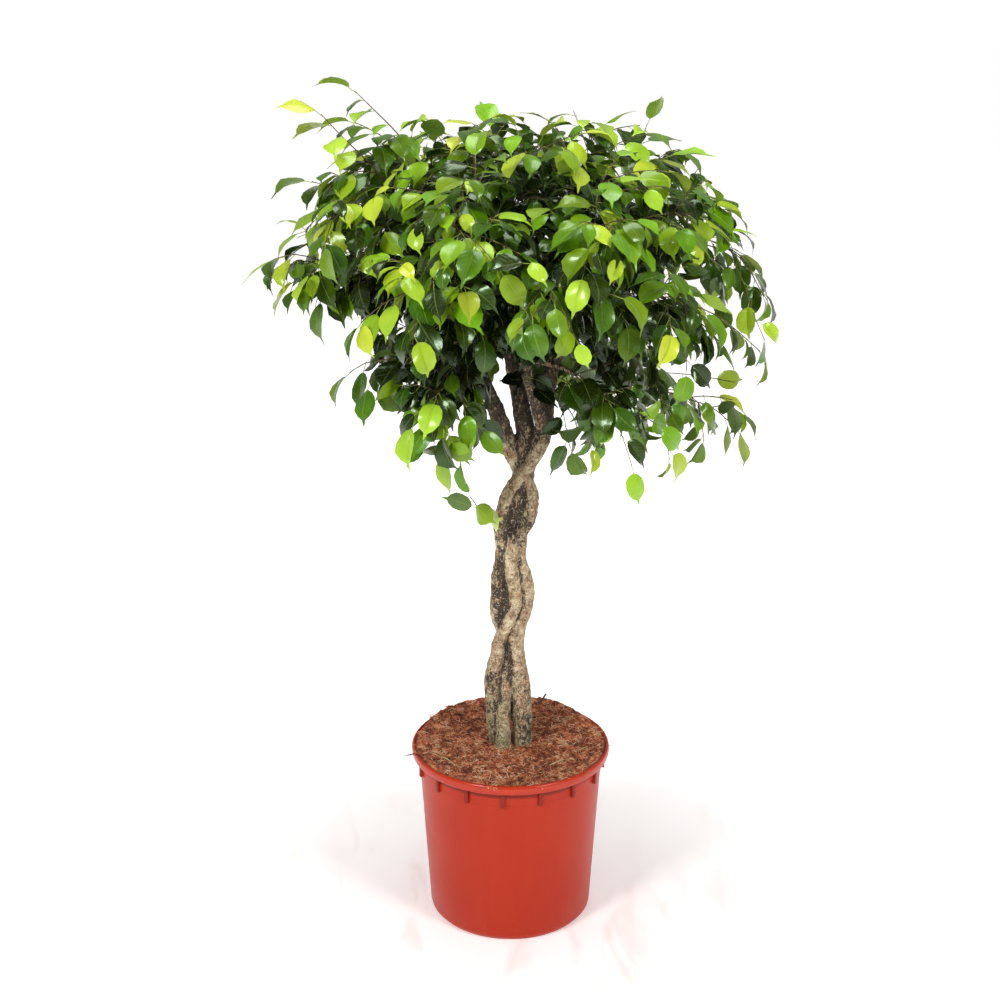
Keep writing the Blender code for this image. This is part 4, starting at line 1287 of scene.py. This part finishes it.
def leafSkin():
    look = leafLook
    material = newMaterial("leafSkin")
    shade({"Specular IOR Level": look["specular"], "Specular Tint": look["tint"],
           "Coat Weight": look["coat"], "Coat Roughness": look["coatRoughness"]})
    youth, tone, under = marked("youth"), marked("tone"), marked("underside")
    flat = addNode("SeparateXYZ", {0: addNode("UVMap", uv_map="UVMap").outputs[0]}).outputs
    aside = calc(calc(flat[1], "-", 0.5), "abs")
    patches = noise(places(), *look["patches"])
    age = calc(youth, "+", calc(calc(patches, "-", 0.5), "*", look["patchAge"]))
    # each leaf's own shade from its tone, which is lower inside the head as painted shade
    tint = smoothStep(tone, *look["shades"])
    lean = blendValues(calc(calc(tone, "*", look["leanSpread"]), "part"), *look["lean"])
    own = addNode("CombineColor", {0: calc(tint, "*", lean), 1: tint, 2: tint}).outputs[0]
    colour = mixColours(1.0, colourBand(age, *look["ages"]), own, "MULTIPLY")
    rib = smoothStep(aside, *look["rib"])
    slant = calc(calc(flat[0], "*", look["veinCount"]), "-", calc(aside, "*", look["veinSlant"]))
    veins = smoothStep(calc(calc(calc(slant, "part"), "-", 0.5), "abs"), *look["veins"])
    lines = calc(calc(rib, "*", look["ribPale"]), "max", calc(veins, "*", look["veinPale"]))
    colour = mixColours(lines, colour, paint(*look["vein"]))
    colour = mixColours(calc(under, "*", look["underPale"]), colour, paint(*look["under"]))
    rough = calc(smoothStep(youth, *look["roughness"]), "+", calc(under, "*", look["underRoughness"]))
    shade({"Base Color": colour, "Roughness": rough})
    relief = calc(patches, "-", calc(rib, "+", calc(veins, "*", look["veinRelief"])))
    bump(relief, look["reliefDepth"], look["reliefStrength"])
    return material


def plainSkin(name, roughness, pattern, stops):
    # a few shades in one pattern
    material = newMaterial(name)
    shade({"Base Color": colourBand(noise(places(), *pattern), *stops), "Roughness": roughness})
    return material


def stalkSkin():
    look = twigLook
    return plainSkin("stalkSkin", look["stalkRoughness"], look["stalkPattern"], look["stalkShades"])


def twigSkin():
    look = twigLook
    material = plainSkin("twigSkin", look["roughness"], look["pattern"], look["shades"])
    bump(noise(places(), look["grain"]), look["grainDepth"])
    return material


def youthOf(matrix, share, draw):
    # a leaf's youth, and its tone: random, and lower inside the head as painted shade
    offset = matrix.translation - heart
    tall = head["reachUp"] if offset.z > 0.0 else head["skirtRight"]
    out = Vector((offset.x / head["reachRight"], offset.y / head["reachBack"], offset.z / tall)).length
    youth = growth["least"] + growth["most"] * clamp((out - growth["outFrom"]) / growth["outOver"])
    youth += draw.uniform(*growth["spread"])
    if share == 1.0:
        youth += growth["tip"]
    light = clamp((out - growth["lightFrom"]) / growth["lightOver"])
    return clamp(youth), draw.random() * light - growth["darkest"] * (1.0 - light)


def dressSprays(grown, masters, skin):
    # the last spray is the one inside, which stands for no node of the frame
    for number, (spray, leaves) in enumerate(grown):
        inside = number == len(grown) - 1
        draw = random.Random(head["seed"] + 2 * filling["draws"] + number)
        paths = []
        for order, rows in enumerate(spray):
            thick = twigs["fineRadius"] if order or inside else twigs["roundRadius"]
            thin = taper([row[:3] for row in rows], thick, twigs["roundEnd"])
            paths.append(smoothPath(thin, twigs["roundStep"]))
        piece = sweepTubes("innerShoots" if inside else f"leafySpray_{number + 1:02d}", paths, 4)
        paintWith(piece, skin)
        copies = [piece]
        for arch, matrix, share in leaves:
            choice = masters[arch][draw.randrange(len(masters[arch]))]
            copy = addPiece("leaf", choice.data, matrix)
            youth, tone = youthOf(matrix, share, draw)
            count = len(copy.data.vertices)
            mark(copy, "youth", [youth * (growth["inside"] if inside else 1.0)] * count)
            mark(copy, "tone", [tone] * count)
            copies.append(copy)
        joinAll(copies)
        if inside:
            handOver(piece, "leaves")
        else:
            handOver(piece, "leaves", f"leafy_spray_{number + 1:02d}")
    print("leaves:", sum(len(leaves) for _, leaves in grown))


# Trunk: three stems that have grown together, and the branches that they divide into

bark = {
    "grooveReach": 22,
    "grooveDepth": 0.0022,
    # where moss and algae darken the bark, or leave it pale: place, reach, amount
    "patches": (
        ((-0.013, -0.014, 0.668), 0.032, 0.16), ((0.014, -0.014, 0.668), 0.034, 0.15),
        ((0.034, -0.006, 0.660), 0.020, 0.12), ((-0.011, -0.014, 0.714), 0.010, 0.16),
        ((0.019, -0.012, 0.716), 0.012, 0.16), ((0.040, -0.004, 0.745), 0.018, 0.08),
        ((-0.017, -0.010, 0.605), 0.016, 0.13), ((-0.019, -0.010, 0.575), 0.022, 0.17),
        ((-0.018, -0.010, 0.535), 0.026, 0.18), ((-0.014, -0.010, 0.505), 0.018, 0.16),
        ((-0.006, -0.014, 0.458), 0.012, 0.34), ((-0.005, -0.014, 0.436), 0.013, 0.36),
        ((-0.004, -0.014, 0.412), 0.012, 0.32), ((-0.034, -0.010, 0.395), 0.016, 0.10),
        ((-0.027, -0.010, 0.405), 0.020, 0.08), ((-0.015, -0.012, 0.371), 0.009, 0.14),
        ((0.002, -0.016, 0.350), 0.014, 0.08), ((0.022, 0.020, 0.560), 0.028, 0.10),
        ((-0.020, 0.022, 0.450), 0.030, 0.10), ((0.002, -0.018, 0.597), 0.016, -0.12),
        ((0.036, -0.010, 0.712), 0.012, -0.06), ((-0.002, -0.024, 0.712), 0.011, -0.16),
        ((0.009, -0.024, 0.736), 0.011, -0.16), ((-0.002, -0.021, 0.507), 0.010, -0.14),
        ((0.008, -0.021, 0.535), 0.010, -0.10), ((-0.014, -0.017, 0.480), 0.011, -0.10),
        ((0.030, -0.010, 0.375), 0.016, 0.07), ((0.026, -0.008, 0.600), 0.012, 0.06),
        ((0.026, -0.014, 0.322), 0.026, 0.11), ((-0.036, -0.006, 0.345), 0.018, 0.08),
    ),
    "stretch": 0.5, "patchHeart": 0.15,
    "swells": (
        ("barkSwells", 0.022, 0.0036), ("barkKnots", 0.0105, 0.0026), ("barkRidges", 0.0050, 0.0015),
    ),
    "middle": 0.42, "fadeIn": 0.03,
    # patterns: scale, detail, roughness, warp
    "fine": (210.0, 6.0, 0.7, 0.3), "medium": (70.0, 6.0, 0.65, 0.4), "broad": (22.0, 4.0, 0.6, 0.6),
    "ruddy": (46.0, 5.0, 0.6, 0.5), "specks": (330.0, 4.0, 0.65),
    "roughness": 0.88,
    "shades": ((0.36, 120, 93, 66), (0.50, 168, 146, 114), (0.64, 212, 197, 163)),
    "ruddyStain": (0.52, 0.64, 0.55, (172, 122, 92)),
    "greenHeights": (0.42, 0.30), "greenAmount": (0.35, 0.60, 0.0, 0.72), "green": (148, 146, 102),
    # dark moss and algae in patches and a little low down, the upper part darker all over, and painted shade
    # in the grooves
    "upper": (0.74, 0.86, 0.0, 0.25), "lower": (0.47, 0.38, 0.0, 0.036), "grooveShade": 0.20,
    "mediumShare": 0.32, "darkBarkAndShade": (0.665, 0.775, 0.93, (40, 30, 22)),
    "pepperStain": (0.46, 0.38, 0.72, (76, 58, 42)),
    "paleAmount": (0.56, 0.66), "paleHeights": (0.86, 0.74, 0.20, 0.60), "pale": (230, 221, 200),
    "fineRelief": 0.7, "reliefDepth": 0.0030,
}


def barkSkin():
    material = newMaterial("barkSkin")
    place = places()
    height = heightOf(place)
    long = places((1.0, 1.0, bark["stretch"]))
    fine = noise(long, *bark["fine"])
    medium = noise(place, *bark["medium"])
    colour = colourBand(medium, *bark["shades"])
    colour = stain(colour, noise(place, *bark["ruddy"]), *bark["ruddyStain"])
    green = smoothStep(noise(place, *bark["broad"]), *bark["greenAmount"])
    green = calc(green, "*", smoothStep(height, *bark["greenHeights"]))
    colour = mixColours(green, colour, paint(*bark["green"]))
    lower = smoothStep(height, *bark["lower"])
    # painted shade in the grooves, and the upper part darker all over
    dark = calc(calc(marked("groove"), "*", bark["grooveShade"]), "+", smoothStep(height, *bark["upper"]))
    dark = calc(dark, "+", lower)
    for (x, y, z), reach, amount in bark["patches"]:
        away = distance(long, (x, y, z * bark["stretch"]))
        dark = calc(dark, "+", smoothStep(away, reach, reach * bark["patchHeart"], 0.0, amount))
    dark = calc(dark, "+", calc(calc(medium, "*", bark["mediumShare"]), "+", fine))
    colour = stain(colour, dark, *bark["darkBarkAndShade"])
    specks = noise(place, *bark["specks"])
    colour = stain(colour, calc(specks, "-", lower), *bark["pepperStain"])
    pale = calc(smoothStep(specks, *bark["paleAmount"]), "*", smoothStep(height, *bark["paleHeights"]))
    shade({"Base Color": mixColours(pale, colour, paint(*bark["pale"])), "Roughness": bark["roughness"]})
    bump(calc(medium, "+", calc(fine, "*", bark["fineRelief"])), bark["reliefDepth"])
    return material


def makeTrunk(branches):
    paths = []
    for name in (*limbNames, "heartwood", "knob"):
        rows = smoothPath(wood[name], wood["fineStep"])
        if name in limbNames[:3]:
            x, y, _, radius = wood[name][0]
            wide = radius + wood["footSpare"]
            rows = [(x, y, wood["footDepth"], wide), (x, y, wood["footTop"], wide), *rows[1:]]
        paths.append(rows)
    piece = sweepTubes("braidedTrunk", paths, wood["stemSides"])
    applyModifier(piece, "REMESH", mode="VOXEL", voxel_size=wood["voxel"], use_smooth_shade=True)
    applyModifier(piece, "SMOOTH", factor=wood["smoothing"], iterations=wood["smoothings"])
    group = piece.vertex_groups.new(name="aboveSoil")
    for corner in piece.data.vertices:
        share = clamp((corner.co.z - soil["edgeHeight"]) / bark["fadeIn"])
        group.add([corner.index], share, "REPLACE")
    roughen(piece, bark["swells"], "aboveSoil", mid_level=bark["middle"])
    fine = [smoothPath(rows, wood["branchStep"]) for rows in branches]
    limbs = sweepTubes("limbs", fine, wood["branchSides"])
    stub = sweepTubes("sproutStub", [wood["stub"]], wood["branchSides"])
    joinAll([piece, limbs, stub])
    markGrooves(piece, bark["grooveReach"], bark["grooveDepth"])
    paintWith(piece, barkSkin())
    pick([piece])
    bpy.ops.object.shade_smooth()
    handOver(piece, "bark", "braided_trunk")
    report("trunk:", piece)


# Soil: coir and peat, lumpy, with loose fibres all over it

soil = {
    "steps": 220, "rings": 56, "sharpAngle": 60,
    "edgeHeight": 0.285, "middleHeight": 0.288, "rimHeight": 0.2878,
    "grooveReach": 10, "grooveDepth": 0.0016,
    "lumps": (("soilHeaps", 0.030, 0.0060), ("soilClods", 0.012, 0.0100), ("soilCrumbs", 0.0045, 0.0050)),
    # heaped up behind and a little on the left, with a hollow round the trunk
    "heap": 0.0170, "heapBack": 1.3, "heapLeft": 0.2,
    "hollow": 0.0050, "hollowReach": 0.050, "edgeSlope": 22.0,
    "roughness": 0.95, "medium": (190.0, 6.0, 0.7), "broad": (45.0, 4.0, 0.6),
    "shades": ((0.36, 74, 32, 18), (0.50, 186, 100, 64), (0.64, 244, 168, 120)),
    # dark patches in the peat, then painted shade in the hollows
    "darkStain": (0.45, 0.65, 0.7, (74, 34, 28)), "hollowShade": (-0.1, 0.7, 0.85, (40, 18, 12)),
    # a painted shadow of the rim on the soil's edge, then the depth of the bumps
    "rimShadow": (0.149, 0.154, 0.75, (52, 22, 14)), "reliefDepth": 0.0035,
}


def soilSkin():
    material = newMaterial("soilSkin")
    place = places()
    medium = noise(place, *soil["medium"])
    colour = colourBand(medium, *soil["shades"])
    colour = stain(colour, noise(place, *soil["broad"]), *soil["darkStain"])
    # painted shade in the hollows, and a painted shadow of the rim along the soil's edge
    colour = stain(colour, marked("groove"), *soil["hollowShade"])
    shade({"Base Color": stain(colour, fromAxis(), *soil["rimShadow"]), "Roughness": soil["roughness"]})
    bump(medium, soil["reliefDepth"])
    return material


def soilRows():
    gap = wood["clearance"]
    low, thin = pot["floor"] + pot["corner"], pot["wall"]
    top = pot["shoulder"] + thin
    edge = pot["collarRadius"] - gap
    rows = [(wallRadius(low) - thin - pot["corner"] - gap, pot["floor"] + gap)]
    rows += [(wallRadius(low) - thin - gap, low + gap)]
    rows += [(wallRadius(pot["shoulder"]) - thin - gap, top + gap), (edge, top + thin + gap)]
    for ring in range(soil["rings"] + 1):
        share = 1.0 - ring / (soil["rings"] + 1)
        rows.append((edge * share, blend(soil["middleHeight"], soil["rimHeight"], share ** 2)))
    return rows


def makeSoil():
    piece = turnRings("soilBed", soilRows(), soil["steps"])
    group = piece.vertex_groups.new(name="top")
    edge = pot["collarRadius"]
    for corner in piece.data.vertices:
        x, y, z = corner.co
        if z > soil["edgeHeight"] - tiny:
            out = math.hypot(x, y) / edge
            inward = min(1.0, (1.0 - out) * soil["edgeSlope"])
            group.add([corner.index], inward, "REPLACE")
            back = clamp(soil["heapBack"] * y / edge - soil["heapLeft"] * x / edge)
            near = max(0.0, 1.0 - out * edge / soil["hollowReach"])
            corner.co.z += inward * soil["heap"] * back * out ** 2 - soil["hollow"] * near
    roughen(piece, soil["lumps"], "top", direction="Z")
    markGrooves(piece, soil["grooveReach"], soil["grooveDepth"])
    paintWith(piece, soilSkin())
    shadeSmooth(piece, soil["sharpAngle"])
    handOver(piece, "soil", "soil")
    report("soil:", piece)
    return piece


coir = {
    "kinds": 5, "tufts": 310, "fibresInTuft": 30, "tuftRadius": 0.012, "tuftHeight": 0.0016,
    "length": (0.004, 0.013), "rise": (-0.20, 0.75), "fall": (0.20, 0.80),
    "curl": 1.5, "crook": 0.5, "bends": 3,
    "radius": 0.00036, "radiusSpread": (0.6, 1.1), "sides": 4,
    "tones": (0.0, 0.2, 0.4, 0.65, 1.0),
    "backSpread": 0.139, "frontSpread": 0.150, "sizeSpread": (0.8, 1.15),
    "sink": 0.0004,
    "seed": 21,
    "roughness": 0.8, "toneShare": 0.85, "clumps": (60.0, 4.0, 0.6), "clumpShare": (0.35, 0.65, -0.30, 0.45),
    "shades": ((0.10, 108, 48, 28), (0.45, 200, 112, 68), (0.75, 238, 170, 118), (1.0, 250, 220, 182)),
}


def fibreSkin():
    material = newMaterial("fibreSkin")
    clumps = smoothStep(noise(places(), *coir["clumps"]), *coir["clumpShare"])
    tone = calc(calc(marked("tone"), "*", coir["toneShare"]), "+", clumps)
    shade({"Base Color": colourBand(tone, *coir["shades"]), "Roughness": coir["roughness"]})
    return material


def makeFibres(tone, draw):
    paths = []
    for _ in range(coir["fibresInTuft"] // len(coir["tones"])):
        turn, out = draw.uniform(0.0, math.tau), coir["tuftRadius"] * math.sqrt(draw.random())
        height = draw.uniform(0.0, coir["tuftHeight"])
        place = Vector((out * math.cos(turn), out * math.sin(turn), height))
        heading = draw.uniform(0.0, math.tau)
        length = draw.uniform(*coir["length"])
        curl = jitter(draw, coir["curl"])
        rise = draw.uniform(*coir["rise"])
        rows = []
        for _ in range(coir["bends"]):
            rows.append((*place, coir["radius"] * draw.uniform(*coir["radiusSpread"])))
            way = Vector((math.cos(heading), math.sin(heading), rise))
            place = place + way * length / (coir["bends"] - 1)
            heading += curl / 2 + jitter(draw, coir["crook"])
            rise -= draw.uniform(*coir["fall"])
        paths.append(rows)
    fibres = sweepTubes("fibres", paths, coir["sides"])
    mark(fibres, "tone", [tone] * len(fibres.data.vertices))
    return fibres


def makeCoir(bed):
    draw = random.Random(coir["seed"])
    kinds = [joinAll([makeFibres(tone, draw) for tone in coir["tones"]]) for _ in range(coir["kinds"])]
    ground = BVHTree.FromObject(bed, bpy.context.evaluated_depsgraph_get())
    copies = []
    while len(copies) < coir["tufts"]:
        turn = draw.uniform(0.0, math.tau)
        limit = blend(coir["backSpread"], coir["frontSpread"], 0.5 - 0.5 * math.sin(turn))
        out = limit * math.sqrt(draw.random())
        hit, *_ = ground.ray_cast(Vector((out * math.cos(turn), out * math.sin(turn), 1.0)), -up)
        if hit is None:
            continue
        kind = kinds[draw.randrange(len(kinds))]
        spin = Matrix.Rotation(draw.uniform(0.0, math.tau), 4, "Z")
        size = Matrix.Scale(draw.uniform(*coir["sizeSpread"]), 4)
        moved = Matrix.Translation(hit - up * coir["sink"]) @ spin @ size
        copies.append(addPiece("coir", kind.data, moved))
    for kind in kinds:
        bpy.data.objects.remove(kind)
    piece = joinAll(copies)
    piece.name = "coirFibres"
    paintWith(piece, fibreSkin())
    handOver(piece, "soil")
    report("coir:", piece)


# Bits that lie on the soil: two pale stalks, a dark twig end at the back and a bit over the left rim

litter = {
    "step": 0.003, "sides": 6, "sharpAngle": 60, "roughness": 0.7, "pattern": (300.0,),
    "pale": ((0.35, 176, 150, 96), (0.65, 214, 196, 140)),
    "dark": ((0.35, 38, 28, 22), (0.65, 86, 66, 50)),
    # name, shades, then across, depth, height and radius along each bit
    "bits": (
        ("paleStraw", "pale", (-0.110, -0.062, 0.2925, 0.0008), (-0.098, -0.078, 0.2955, 0.0009),
         (-0.086, -0.094, 0.2925, 0.0006)),
        ("paleStalk", "pale", (0.062, -0.088, 0.2920, 0.0007), (0.078, -0.080, 0.2950, 0.0007),
         (0.090, -0.068, 0.2920, 0.0005)),
        ("darkTwig", "dark", (0.046, 0.118, 0.2990, 0.0012), (0.055, 0.124, 0.3080, 0.0017),
         (0.060, 0.128, 0.3150, 0.0014)),
        ("darkBit", "dark", (-0.146, -0.048, 0.2900, 0.0008), (-0.158, -0.054, 0.2925, 0.0009),
         (-0.168, -0.058, 0.2915, 0.0005)),
    ),
}


def makeLitter():
    for name, shades, *points in litter["bits"]:
        piece = sweepTubes(name, [smoothPath(points, litter["step"])], litter["sides"])
        skin = plainSkin(name + "Skin", litter["roughness"], litter["pattern"], litter[shades])
        paintWith(piece, skin)
        shadeSmooth(piece, litter["sharpAngle"])
        handOver(piece, "soil")
    print("litter:", len(litter["bits"]), "bits")


def makePlant():
    plans = sprayPlans()
    branches, pointing = scaffold(plans)
    solidWood = [smoothPath(wood[name], wood["step"]) for name in limbNames] + branches
    grown = growSprays(plans, pointing, solidWood)
    print("leaves as in the frame:", sum(len(leaves) for _, leaves in grown))
    fillHead(plans, grown)
    grown.append(growInside(branches))
    print("twigs:", sum(len(spray) for spray, _ in grown))
    makeTrunk(branches)
    skin, stalk, twig = leafSkin(), stalkSkin(), twigSkin()
    masters = {}
    for arch in sorted({*leaf["arches"], *filling["arches"]}):
        masters[arch] = [modelLeaf(arch, mood, skin, stalk) for mood in blade["moods"]]
    dressSprays(grown, masters, twig)
    for kinds in masters.values():
        for master in kinds:
            bpy.data.objects.remove(master)


setStudio()
makePot()
makeCoir(makeSoil())
makeLitter()
makePlant()
